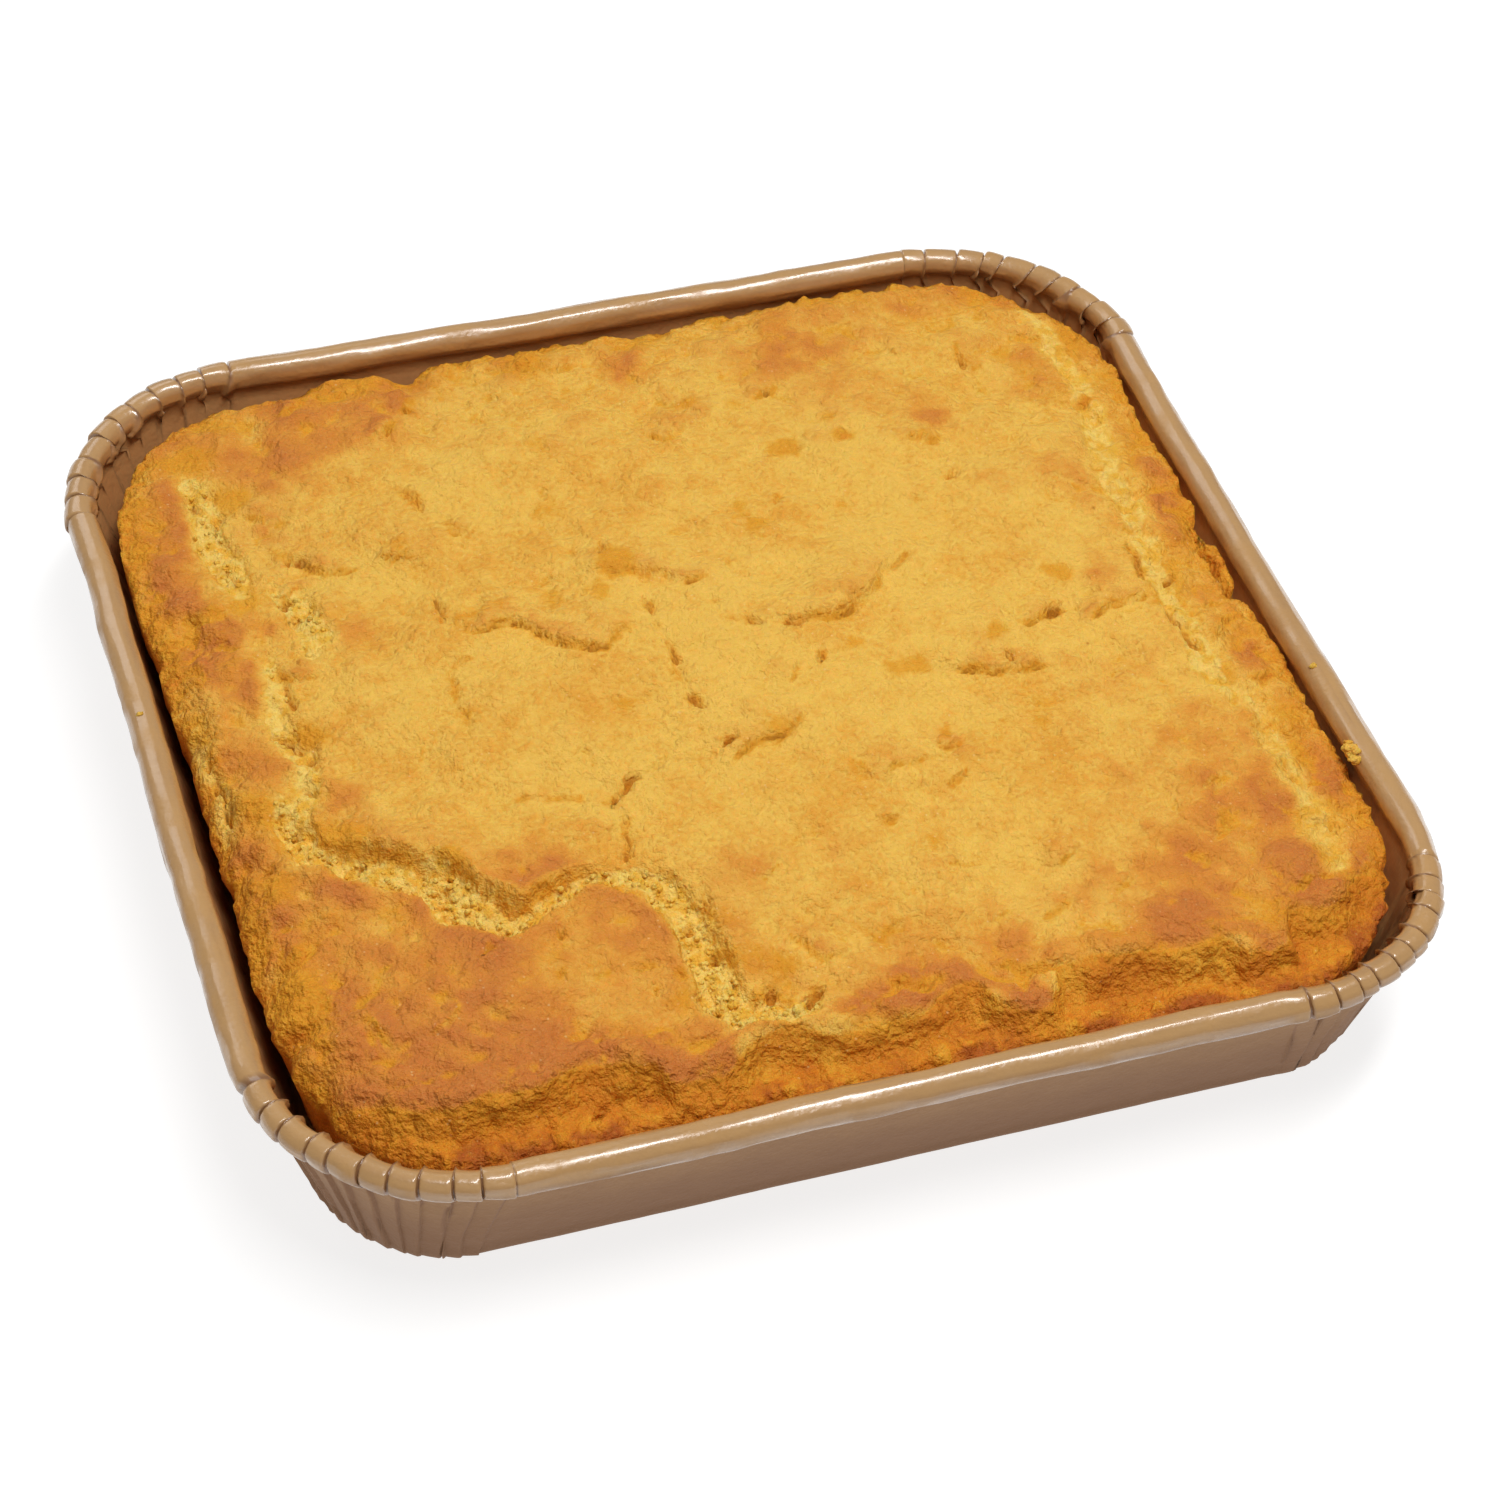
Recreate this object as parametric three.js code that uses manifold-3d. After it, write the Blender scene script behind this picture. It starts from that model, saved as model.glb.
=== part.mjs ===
// A square cornbread in the pleated brown paper tray that it was baked in.
// Millimetres, +Z up. The tray stands on z = 0 and its middle is on the Z axis.
// -Y is the front and -X the left, as they are seen from the front left corner.

import * as THREE from 'three';
import { mergeVertices } from 'three/addons/utils/BufferGeometryUtils.js';
import Module from 'manifold-3d';

// Tray sizes
const TRAY_HALF = 100;
const TRAY_HEIGHT = 33;
const PAPER = 0.9;
const RIM_CORNER = 38;
const ROLL_RADIUS = 2.75;
const CORNER_ROLL_RADIUS = 2.4;
const BASE_HALF = 88.6;
const BASE_CORNER = 22.5;
const HEEL_RADIUS = 4.2;
const WALL_OUTSIDE_AT_ROLL = -105;
const WALL_INSIDE_AT_ROLL = 228;
const ROLL_STEPS = 8;
const WALL_STEPS = 3;
const HEEL_STEPS = 3;

// Corner pleats, between two turns of each corner: each has a slit in the roll and a fold over the next
const PLEATS = 10;
const PLEAT_TURNS = [[4, 85], [4, 87], [12.9, 87], [3, 69]];
const SLIT_DEPTH = 0.75;
const FOLD_DEPTH = 0.55;
const ROLL_FOLD = 0.4 * FOLD_DEPTH;
const HEEL_FOLD = 1.2 * FOLD_DEPTH;
const WALL_FOLD_GAIN = 1.3;
const PLEAT_STATIONS = [[0, 1, 0], [0.22, 0, 0.25], [0.8, 0, 1]];
const SIDE_STATIONS = 5;

// The hand-pressed tray isn't a true square: how far its rim stands out, by direction in degrees
const UNEVEN = [
  [-180, 0.3], [-150, 0.5], [-135, 0.9], [-118, 0.2], [-90, 0.0], [-62, -0.2], [-46, 0.7], [-34, -1.0],
  [-18, -1.1], [0, -1.0], [22, -0.8], [45, 0.2], [90, -0.3], [135, 0.2], [160, 0.2], [180, 0.3],
];

// Bread sizes
const BREAD_MIDDLE = [0.6, 0.5];
const BREAD_HALF = 92.2;
const BREAD_CORNERS = [36, 37, 34, 36];
const BREAD_GAP = 0.4;
const EDGE_HEIGHT = 23.4;
const BULGE_HEIGHT = 18;
const SHOULDER_HEIGHT = 31.2;
const SHOULDER_REACH = 4.6;
const DOME = 3.4;
const SIDE_HEIGHTS = [14, 4.6, 2.4];
const GRID = 38;
const SEED = 7.31;

// The bread's edge by direction in degrees: its height, and how far out it bulges
const EDGES = [
  [-180, 25.5, 0], [-160, 24.4, 0], [-135, 23.4, 0], [-90, 23.4, 0], [-62, 24.2, 0.1], [-46, 25.2, 1.5],
  [-30, 28, 0.6], [0, 29.2, 0.6], [30, 29.4, 0.6], [45, 29, 0.9], [62, 29, 0.4], [90, 28.6, 0],
  [118, 28.4, 0.1], [135, 28.6, 0.9], [150, 28.2, 0.9], [165, 27, 0.3], [180, 25.5, 0],
];

// Lumps of the top: width of each size of lump and how high it stands
const LUMPS = [[34, 1.1], [15, 0.9], [8, 0.7]];

// Browned knobs and lips that stand up: x, y, radius, height
const KNOB_FALL = 1.6;
const KNOBS = [
  [-50, -36, 11, 1.3], [-36, -35, 8, 0.9], [-66, -29, 8, 0.8], [-58, -62, 24, 1.2], [-60, -80, 14, 1.6],
  [-40, -80, 9, 1.4], [-14, -80, 9, 0.9], [2, -83, 8, 1.9], [18, -86, 8, 1.7], [34, -83, 8, 1.1],
  [50, -76, 9, 1.6], [63, -80, 8, 1.3], [75, -70, 9, 1.6], [79, -56, 8, 1.0], [-22, 15, 9, 0.9],
  [-4, 30, 10, 0.9], [22, 13, 9, 0.8], [45, -10, 10, 0.8], [-60, 72, 14, 0.9], [-86, 52, 7, 1.1],
  [-86, 20, 7, 0.9], [-86, -30, 7, 0.8], [89, 48, 6, 0.9], [88, 12, 6, 0.8], [88, -30, 6, 0.9],
];

// Torn bands where the crust broke away from the rim: points, width, depth
const BAND_FALL = 2.2;
const BANDS = [
  [[[-77, 66], [-75, 52], [-68, 42], [-68, 32], [-73, 18], [-75, 2], [-76, -14], [-76, -26]], 9, 1.4],
  [[[82, 74], [81, 52], [79, 34], [78, 16], [78, 0], [79, -16], [81, -34], [80, -50]], 9, 1.4],
  [[[-24, -76], [-6, -79], [12, -79], [28, -77], [42, -80]], 7, 1.2],
];

// Fissures and cracks: points, width, depth
const CRACKS = [
  [[[-81, -25], [-75, -31], [-67, -34], [-61, -39], [-55, -44], [-48, -46], [-42, -42], [-35, -43],
    [-29, -45]], 6.5, 4.2],
  [[[-34, -43], [-27, -46], [-25, -52], [-24, -60], [-24, -68], [-22, -76]], 6, 3.8],
  [[[-31, -45], [-29, -38], [-27, -33], [-27, -27], [-21, -22]], 2.6, 3],
  [[[-8, -28], [-6, -24], [0, -21], [5, -18], [9, -13], [10, -7], [15, 0]], 2.2, 2.6],
  [[[9, 5], [13, 5.5], [18, 7], [23, 5], [28, 8], [35, 15]], 3.2, 3.2],
  [[[-18, 25], [-13, 27], [-9, 24], [-4, 21.5], [3, 20]], 2.8, 3.2],
  [[[-13, 34], [-14, 30], [-12, 26]], 2, 2.4],
  [[[-43, 22], [-38, 18], [-31, 17], [-29, 12], [-25, 9], [-20, 7], [-15, 10], [-11, 13.5]], 2.8, 3],
  [[[-66, 41], [-60, 39.5], [-54, 39.5], [-48, 40.5], [-40, 39]], 2.4, 2.6],
  [[[33, -12], [40, -15], [46, -16.5], [53, -14.5]], 2.2, 2.6],
  [[[50, -5], [57, -3], [61, -7.5], [67, -5], [77, 0]], 2.4, 2.6],
  [[[-11, -62], [-7, -66], [1, -68.5]], 2.2, 2.4],
  [[[88, 16], [89, 6], [90, -6], [89, -14]], 2.6, 4],
  [[[-88.5, 8], [-88, 0], [-87.5, -8], [-87, -16]], 2.6, 4.5],
];

// Section of a crack: head and foot in half widths, how far it opens above the crust, how it runs out
const TROUGH_HEAD = 1.35;
const TROUGH_FOOT = 0.35;
const TROUGH_RISE = 2.2;
const TROUGH_STEP = 4;
const END_WIDTH = 0.15;
const SHALLOWER = 0.25;
const RAGGED = 0.25;
const RAGGED_PACE = 2.3;

// Colours and roughness of the two materials
const PAPER_COLOUR = 0xb08a62;
const PAPER_ROUGHNESS = 0.5;
const BREAD_COLOUR = 0xe0a23c;
const BREAD_ROUGHNESS = 0.85;

const radians = THREE.MathUtils.degToRad;
const mix = THREE.MathUtils.lerp;
const ease = THREE.MathUtils.smoothstep;

// What rows that start with a direction in degrees say for a place, eased from one row to the next
function around(rows, place) {
  const direction = THREE.MathUtils.radToDeg(Math.atan2(place.y, place.x));
  const index = Math.max(1, rows.findIndex(([angle]) => angle >= direction));
  const [fromAngle, ...from] = rows[index - 1];
  const [toAngle, ...to] = rows[index];
  return from.map((value, column) => mix(value, to[column], ease(direction, fromAngle, toAngle)));
}

// Moves a place on the outline in or out, as the uneven rim does, less so lower down
function makeUneven(place, z) {
  const [out] = around(UNEVEN, place);
  return place.setLength(place.length() + out * z / TRAY_HEIGHT);
}

// A place on a rounded square: a corner station has a turn of 0 to 90 degrees, a side one a share
function onOutline(half, corners, station) {
  const cornerPoint = (index, turn) => {
    const radius = corners[index % 4];
    const angle = radians(90 * index + turn);
    const flip = radians(90 * index + 45);
    const x = Math.sign(Math.cos(flip)) * (half - radius) + radius * Math.cos(angle);
    const y = Math.sign(Math.sin(flip)) * (half - radius) + radius * Math.sin(angle);
    return new THREE.Vector2(x, y);
  };
  if (station.turn !== undefined) return cornerPoint(station.corner, station.turn);
  return cornerPoint(station.corner, 90).lerp(cornerPoint(station.corner + 1, 0), station.share);
}

// Direction in which the outline faces at a station
function facing(station) {
  const turn = station.turn === undefined ? 90 : station.turn;
  const angle = radians(90 * station.corner + turn);
  return new THREE.Vector2(Math.cos(angle), Math.sin(angle));
}

// Skin over rings of points, closed at both ends by a fan onto the middle of the end ring
function skin(rings) {
  const count = rings[0].length;
  const positions = rings.flat().flatMap((point) => point.toArray());
  const indices = [];
  for (let ring = 0; ring + 1 < rings.length; ring += 1) {
    for (let step = 0; step < count; step += 1) {
      const a = ring * count + step;
      const b = ring * count + (step + 1) % count;
      indices.push(a, b, b + count);
      indices.push(a, b + count, a + count);
    }
  }
  const middles = [rings[0], rings[rings.length - 1]].map((ring) => {
    const sum = ring.reduce((total, point) => total.add(point), new THREE.Vector3());
    positions.push(...sum.divideScalar(count).toArray());
    return positions.length / 3 - 1;
  });
  const last = (rings.length - 1) * count;
  for (let step = 0; step < count; step += 1) {
    const next = (step + 1) % count;
    indices.push(middles[0], next, step);
    indices.push(middles[1], last + step, last + next);
  }
  const geometry = new THREE.BufferGeometry();
  geometry.setAttribute('position', new THREE.Float32BufferAttribute(positions, 3));
  geometry.setIndex(indices);
  return geometry;
}

// Stations round the tray, each corner cut into pleats
function trayStations() {
  const stations = [];
  for (let corner = 0; corner < 4; corner += 1) {
    const [first, last] = PLEAT_TURNS[corner];
    stations.push({ corner, turn: 0, slit: 0, fold: 0 });
    for (let pleat = 0; pleat < PLEATS; pleat += 1) {
      for (const [place, slit, fold] of PLEAT_STATIONS) {
        stations.push({ corner, turn: mix(first, last, (pleat + place) / PLEATS), slit, fold });
      }
    }
    stations.push({ corner, turn: last, slit: 1, fold: 0 });
    stations.push({ corner, turn: (last + 90) / 2, slit: 0, fold: 0 });
    stations.push({ corner, turn: 90, slit: 0, fold: 0 });
    for (let step = 1; step <= SIDE_STATIONS; step += 1) {
      stations.push({ corner, share: step / (SIDE_STATIONS + 1), slit: 0, fold: 0 });
    }
  }
  return stations;
}

// A point of the rolled rim, by the angle round its tube: 0 faces out and 90 up
function rollPoint(station, angle) {
  const middle = station.turn === undefined ? 0 : Math.sin(radians(station.turn * 2));
  const radius = mix(ROLL_RADIUS, CORNER_ROLL_RADIUS, ease(middle, 0, 0.5));
  const turn = radians(angle);
  const inset = radius - radius * Math.cos(turn);
  return {
    half: TRAY_HALF - inset,
    corner: RIM_CORNER - inset,
    z: TRAY_HEIGHT - radius + radius * Math.sin(turn),
    slit: SLIT_DEPTH,
    fold: ROLL_FOLD,
  };
}

// A point of the heel, where the floor turns up into the wall, on the outside or a paper's width inside
function heelPoint(angle, inside) {
  const radius = HEEL_RADIUS - inside;
  const turn = radians(angle);
  return {
    half: BASE_HALF - HEEL_RADIUS + radius * Math.sin(turn),
    corner: BASE_CORNER - HEEL_RADIUS + radius * Math.sin(turn),
    z: HEEL_RADIUS - radius * Math.cos(turn),
    slit: 0,
    fold: HEEL_FOLD * angle / 90,
  };
}

// A point of the wall, some share of the way from the heel up to the roll
function wallPoint(station, share, inside) {
  const foot = heelPoint(90, inside);
  const head = rollPoint(station, inside > 0 ? WALL_INSIDE_AT_ROLL : WALL_OUTSIDE_AT_ROLL);
  return {
    half: mix(foot.half, head.half, share),
    corner: mix(foot.corner, head.corner, share),
    z: mix(foot.z, head.z, share),
    slit: 0,
    fold: mix(foot.fold, head.fold, share) * WALL_FOLD_GAIN,
  };
}

// The tray's section as one loop: under the floor, up the outside, over the roll, down the inside
function trayPoints(station) {
  const spread = (from, to, steps) => {
    const stops = Array.from({ length: steps + 1 });
    return stops.map((unused, step) => mix(from, to, step / steps));
  };
  const heelAngles = spread(0, 90, HEEL_STEPS);
  const wallShares = spread(0, 1, WALL_STEPS).slice(1, -1);
  const rollAngles = spread(WALL_OUTSIDE_AT_ROLL, WALL_INSIDE_AT_ROLL, ROLL_STEPS);
  return [
    ...heelAngles.map((angle) => heelPoint(angle, 0)),
    ...wallShares.map((share) => wallPoint(station, share, 0)),
    ...rollAngles.map((angle) => rollPoint(station, angle)),
    ...wallShares.toReversed().map((share) => wallPoint(station, share, PAPER)),
    ...heelAngles.toReversed().map((angle) => heelPoint(angle, PAPER)),
  ];
}

function trayGeometry() {
  const stations = trayStations();
  const sections = stations.map(trayPoints);
  const rings = sections[0].map((unused, index) => stations.map((station, number) => {
    const point = sections[number][index];
    const corner = Array(4).fill(point.corner);
    const place = onOutline(point.half, corner, station);
    place.addScaledVector(facing(station), point.fold * station.fold - point.slit * station.slit);
    makeUneven(place, point.z);
    return new THREE.Vector3(place.x, place.y, point.z);
  }));
  return skin(rings);
}

// Smooth random hills between -1 and 1 on a square lattice
function hills(x, y, size, layer) {
  const random = (column, row) => {
    const value = Math.sin(column * 127.1 + row * 311.7 + (layer + SEED) * 74.7) * 43758.5453;
    return 2 * (value - Math.floor(value)) - 1;
  };
  const column = Math.floor(x / size);
  const row = Math.floor(y / size);
  const across = ease(x / size - column, 0, 1);
  const along = ease(y / size - row, 0, 1);
  const near = mix(random(column, row), random(column + 1, row), across);
  const far = mix(random(column, row + 1), random(column + 1, row + 1), across);
  return mix(near, far, along);
}

// Shortest way from a place to a route
function distanceTo(route, x, y) {
  const place = new THREE.Vector3(x, y, 0);
  const nearest = new THREE.Vector3();
  let best = Infinity;
  for (let index = 0; index + 1 < route.length; index += 1) {
    const from = new THREE.Vector3(...route[index], 0);
    const to = new THREE.Vector3(...route[index + 1], 0);
    new THREE.Line3(from, to).closestPointToPoint(place, true, nearest);
    best = Math.min(best, nearest.distanceTo(place));
  }
  return best;
}

// Height of the bread's top, by place and by the distance in from its edge
function topHeight(x, y, inward) {
  const edge = 1 - Math.exp(-inward / SHOULDER_REACH);
  const radial = Math.min(1, (x * x + y * y) / (BREAD_HALF * BREAD_HALF));
  const [edgeHeight] = around(EDGES, { x, y });
  let height = mix(edgeHeight, SHOULDER_HEIGHT, edge) + DOME * (1 - radial) * edge;
  LUMPS.forEach(([size, rise], layer) => {
    height += rise * hills(x, y, size, layer) * edge;
  });
  for (const [knobX, knobY, radius, rise] of KNOBS) {
    const reach = ((x - knobX) ** 2 + (y - knobY) ** 2) / (radius * radius);
    height += rise * Math.exp(-KNOB_FALL * reach) * edge;
  }
  for (const [route, width, depth] of BANDS) {
    const reach = distanceTo(route, x, y) / (width / 2);
    height -= depth * Math.exp(-BAND_FALL * reach * reach) * edge;
  }
  return height;
}

// A place on the bread's edge for a place on the edge of a square from -1 to 1
function breadEdge(u, v, half) {
  const side = Math.abs(u) > Math.abs(v) ? (u > 0 ? 0 : 2) : (v > 0 ? 1 : 3);
  const along = [v, -u, -v, u][side];
  const corners = BREAD_CORNERS.map((radius) => radius + half - BREAD_HALF);
  const before = corners[(side + 3) % 4];
  const after = corners[side];
  const halfCornerLength = (radius) => radius * Math.PI / 4;
  const first = halfCornerLength(before);
  const straight = 2 * half - before - after;
  const last = halfCornerLength(after);
  const run = (along + 1) / 2 * (first + straight + last);
  if (run < first) {
    return onOutline(half, corners, { corner: side + 3, turn: 45 + 45 * run / first });
  }
  if (run <= first + straight) {
    return onOutline(half, corners, { corner: side + 3, share: (run - first) / straight });
  }
  return onOutline(half, corners, { corner: side, turn: 45 * (run - first - straight) / last });
}

// Clearance line of the bread's side at a height, inside the tray's wall
function sideHalf(z) {
  const foot = heelPoint(90, PAPER);
  const head = rollPoint({}, WALL_INSIDE_AT_ROLL);
  if (z >= foot.z) return mix(foot.half, head.half, (z - foot.z) / (head.z - foot.z)) - BREAD_GAP;
  const drop = foot.z - z;
  const radius = HEEL_RADIUS - PAPER;
  return foot.half - radius + Math.sqrt(Math.max(0, radius * radius - drop * drop)) - BREAD_GAP;
}

// Edge point of the bread at a height: it leans in towards the floor as the wall does
function sidePoint(u, v, z) {
  const half = BREAD_HALF + sideHalf(z) - sideHalf(EDGE_HEIGHT);
  const place = breadEdge(u, v, half);
  const lean = z / EDGE_HEIGHT;
  place.x += BREAD_MIDDLE[0] * lean;
  place.y += BREAD_MIDDLE[1] * lean;
  makeUneven(place, z);
  const [, bulge] = around(EDGES, place);
  place.setLength(place.length() + bulge * Math.min(1, z / BULGE_HEIGHT));
  return new THREE.Vector3(place.x, place.y, z);
}

// The uncracked bread: a grid over the top, drawn in to the outline, with the side and the base below
function loafGeometry() {
  const positions = [];
  const indices = [];
  const rowLength = GRID + 1;
  for (let row = 0; row <= GRID; row += 1) {
    for (let column = 0; column <= GRID; column += 1) {
      const u = 2 * column / GRID - 1;
      const v = 2 * row / GRID - 1;
      const reach = Math.max(Math.abs(u), Math.abs(v));
      const place = new THREE.Vector2(u, v).multiplyScalar(BREAD_HALF);
      if (reach > 0) {
        const edge = sidePoint(u / reach, v / reach, EDGE_HEIGHT);
        place.lerp(new THREE.Vector2(edge.x, edge.y).multiplyScalar(reach), reach * reach);
      }
      const onEdge = Math.max(row, column) === GRID || Math.min(row, column) === 0;
      const [edgeHeight] = around(EDGES, place);
      const height = onEdge ? edgeHeight : topHeight(place.x, place.y, (1 - reach) * BREAD_HALF);
      positions.push(place.x, place.y, height);
    }
  }
  for (let row = 0; row < GRID; row += 1) {
    for (let column = 0; column < GRID; column += 1) {
      const a = row * rowLength + column;
      indices.push(a, a + 1, a + rowLength + 1);
      indices.push(a, a + rowLength + 1, a + rowLength);
    }
  }
  const steps = Array.from({ length: GRID }, (unused, step) => step);
  const border = [
    ...steps.map((step) => [step, 0]),
    ...steps.map((step) => [GRID, step]),
    ...steps.map((step) => [GRID - step, GRID]),
    ...steps.map((step) => [0, GRID - step]),
  ];
  const floor = PAPER + BREAD_GAP;
  let upper = border.map(([column, row]) => row * rowLength + column);
  for (const z of [...SIDE_HEIGHTS, floor]) {
    const lower = border.map(([column, row]) => {
      const point = sidePoint(2 * column / GRID - 1, 2 * row / GRID - 1, z);
      positions.push(point.x, point.y, point.z);
      return positions.length / 3 - 1;
    });
    lower.forEach((corner, step) => {
      const next = (step + 1) % border.length;
      indices.push(upper[step], corner, lower[next]);
      indices.push(upper[step], lower[next], upper[next]);
    });
    upper = lower;
  }
  positions.push(0, 0, floor);
  const middle = positions.length / 3 - 1;
  upper.forEach((corner, step) => indices.push(corner, middle, upper[(step + 1) % border.length]));
  const geometry = new THREE.BufferGeometry();
  geometry.setAttribute('position', new THREE.Float32BufferAttribute(positions, 3));
  geometry.setIndex(indices);
  return geometry;
}

// Distance in from the bread's edge, near enough for the rounding of its shoulder
function inwardAt(x, y) {
  const reach = Math.max(Math.abs(x - BREAD_MIDDLE[0]), Math.abs(y - BREAD_MIDDLE[1]));
  return Math.max(0, BREAD_HALF - reach);
}

// A trough along a crack: open above the crust, narrower at its foot, running out at both ends
function troughGeometry([route, width, depth]) {
  const curve = new THREE.CatmullRomCurve3(route.map(([x, y]) => new THREE.Vector3(x, y, 0)));
  const steps = Math.max(4, Math.round(curve.getLength() / TROUGH_STEP));
  const rings = [];
  for (let step = 0; step <= steps; step += 1) {
    const share = step / steps;
    const place = curve.getPointAt(share);
    const along = curve.getTangentAt(share);
    const across = new THREE.Vector3(-along.y, along.x, 0);
    const fade = Math.min(1, 4 * share * (1 - share) + END_WIDTH);
    const ragged = 1 + RAGGED * Math.sin(RAGGED_PACE * step + width);
    const half = width / 2 * fade * ragged;
    const surface = topHeight(place.x, place.y, inwardAt(place.x, place.y));
    const foot = surface - depth * (fade - SHALLOWER);
    const head = surface + TROUGH_RISE;
    const section = [[TROUGH_HEAD, head], [-TROUGH_HEAD, head], [-TROUGH_FOOT, foot], [TROUGH_FOOT, foot]];
    rings.push(section.map(([halves, z]) => {
      const point = place.clone().addScaledVector(across, halves * half);
      return point.setZ(z);
    }));
  }
  return skin(rings);
}

const wasm = await Module();
wasm.setup();

function solidFrom(geometry) {
  const merged = mergeVertices(geometry);
  const vertProperties = new Float32Array(merged.attributes.position.array);
  const triVerts = new Uint32Array(merged.index.array);
  return new wasm.Manifold(new wasm.Mesh({ numProp: 3, vertProperties, triVerts }));
}

function geometryFrom(solid) {
  const { vertProperties, triVerts } = solid.getMesh();
  const geometry = new THREE.BufferGeometry();
  geometry.setAttribute('position', new THREE.Float32BufferAttribute(vertProperties, 3));
  geometry.setIndex([...triVerts]);
  return geometry;
}

function breadGeometry() {
  const cracked = CRACKS.reduce(
    (solid, crack) => solid.subtract(solidFrom(troughGeometry(crack))),
    solidFrom(loafGeometry()),
  );
  return geometryFrom(cracked);
}

function namedMesh(name, geometry, color, roughness) {
  const finished = geometry.toNonIndexed();
  finished.computeVertexNormals();
  const material = new THREE.MeshStandardMaterial({ color, roughness, metalness: 0 });
  const mesh = new THREE.Mesh(finished, material);
  mesh.name = name;
  return mesh;
}

const cornbread = new THREE.Group();
cornbread.add(namedMesh('baking_tray', trayGeometry(), PAPER_COLOUR, PAPER_ROUGHNESS));
cornbread.add(namedMesh('cornbread', breadGeometry(), BREAD_COLOUR, BREAD_ROUGHNESS));

export default cornbread;
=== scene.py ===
"""A square cornbread in its pleated brown paper tray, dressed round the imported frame.

Sizes and places are in millimetres and become metres where a mesh is made.
"""

import math

import bpy
import numpy as np
from mathutils import Matrix, Vector


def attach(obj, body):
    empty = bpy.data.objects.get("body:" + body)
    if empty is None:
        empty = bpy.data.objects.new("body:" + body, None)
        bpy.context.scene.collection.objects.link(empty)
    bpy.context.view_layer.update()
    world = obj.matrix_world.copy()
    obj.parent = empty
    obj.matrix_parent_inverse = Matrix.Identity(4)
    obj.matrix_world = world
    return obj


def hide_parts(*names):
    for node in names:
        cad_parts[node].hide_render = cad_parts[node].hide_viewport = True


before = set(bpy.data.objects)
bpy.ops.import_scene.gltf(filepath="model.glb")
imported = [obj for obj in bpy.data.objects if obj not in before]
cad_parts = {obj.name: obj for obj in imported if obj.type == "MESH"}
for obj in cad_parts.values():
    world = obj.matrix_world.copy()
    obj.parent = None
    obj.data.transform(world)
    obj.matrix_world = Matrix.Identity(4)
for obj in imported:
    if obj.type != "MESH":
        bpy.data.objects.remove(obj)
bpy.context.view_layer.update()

MM = 0.001

# Camera: where it looks from and at, its lens and sensor, and the nearest place in metres that it sees
CAMERA_AZIMUTH = -20.16
CAMERA_ELEVATION = 44.55
CAMERA_DISTANCE = 686.65
CAMERA_ROLL = 3.35
CAMERA_TARGET = (8.49, 7.05, 0.0)
CAMERA_LENS = 92.71
SENSOR_WIDTH = 36
NEAREST_SEEN = 0.01

# Studio: half width of the floor and its glow, the light of the world, and each light's name, place, size
# and power, with places and sizes in metres
FLOOR_HALF = 4000.0
FLOOR_GLOW = 0.8
WORLD_STRENGTH = 0.2
LIGHTS = [
    ("overhead", (0.16, -0.16, 1.1), (0.8, 0.2), 10.2),
    ("back", (-0.25, 0.9, 0.75), (0.8, 0.5), 2.2),
]
LIT_SPOT = (0, 0, 0.02)

# Tray: half its width over the rim, height, thickness of the paper, radii of the rim's corners and of the
# roll, the same for its base, and where on the roll, in degrees, each face of the wall meets it
TRAY_HALF = 100.0
TRAY_HEIGHT = 33.0
PAPER = 0.7
RIM_CORNER = 38.0
ROLL_RADIUS = 2.75
CORNER_ROLL_RADIUS = 2.4
BASE_HALF = 88.6
BASE_CORNER = 22.5
HEEL_RADIUS = 4.2
WALL_OUTSIDE_AT_ROLL = -105.0
WALL_INSIDE_AT_ROLL = 228.0

# Pleats: how many to a corner, the turns where each corner's first starts and last ends, the places of the
# mesh within a pleat, how unevenly they are spaced, and steps of the mesh along a side
PLEATS = 10
PLEAT_TURNS = [(4, 85), (4, 87), (12.9, 87), (3, 69)]
PLEAT_STEPS = (0, 0.028, 0.06, 0.11, 0.19, 0.29, 0.4, 0.5, 0.6, 0.71, 0.81, 0.89, 0.94, 0.972)
PLEAT_SHIFT = 0.16
PLEAT_SEED = 11
SIDE_STEPS = 90

# How deep the paper is worked: folds of the wall and what they share with the roll, grooves between the
# pleats of the roll and their width, how far each pleat bulges and leans, dents of two sizes, and streaks
FOLD_DEPTH = 0.68
ROLL_FOLD = 0.45
GROOVE_DEPTH = 0.8
GROOVE_WIDTH = 0.24
PLEAT_BULGE = 0.22
PLEAT_LEAN = 0.18
SMALL_DENT = 0.1
LARGE_DENT = 0.24
STREAK_DEPTH = 0.16

# How far the rim of the hand-pressed tray stands out, by direction in degrees
UNEVEN = [
    (-180, 0.3), (-150, 0.5), (-135, 0.9), (-118, 0.2), (-90, 0.0), (-62, -0.2), (-46, 0.7), (-34, -1.0),
    (-18, -1.1), (0, -1.0), (22, -0.8), (45, 0.2), (90, -0.3), (135, 0.2), (160, 0.2), (180, 0.3),
]

# Bread: middle, half width and corner radii of its outline, the gap to the tray, and the least height of
# its edge
BREAD_MIDDLE = (0.6, 0.5)
BREAD_HALF = 92.2
BREAD_CORNERS = (36.0, 37.0, 34.0, 36.0)
BREAD_GAP = 0.4
EDGE_HEIGHT = 23.4

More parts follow.
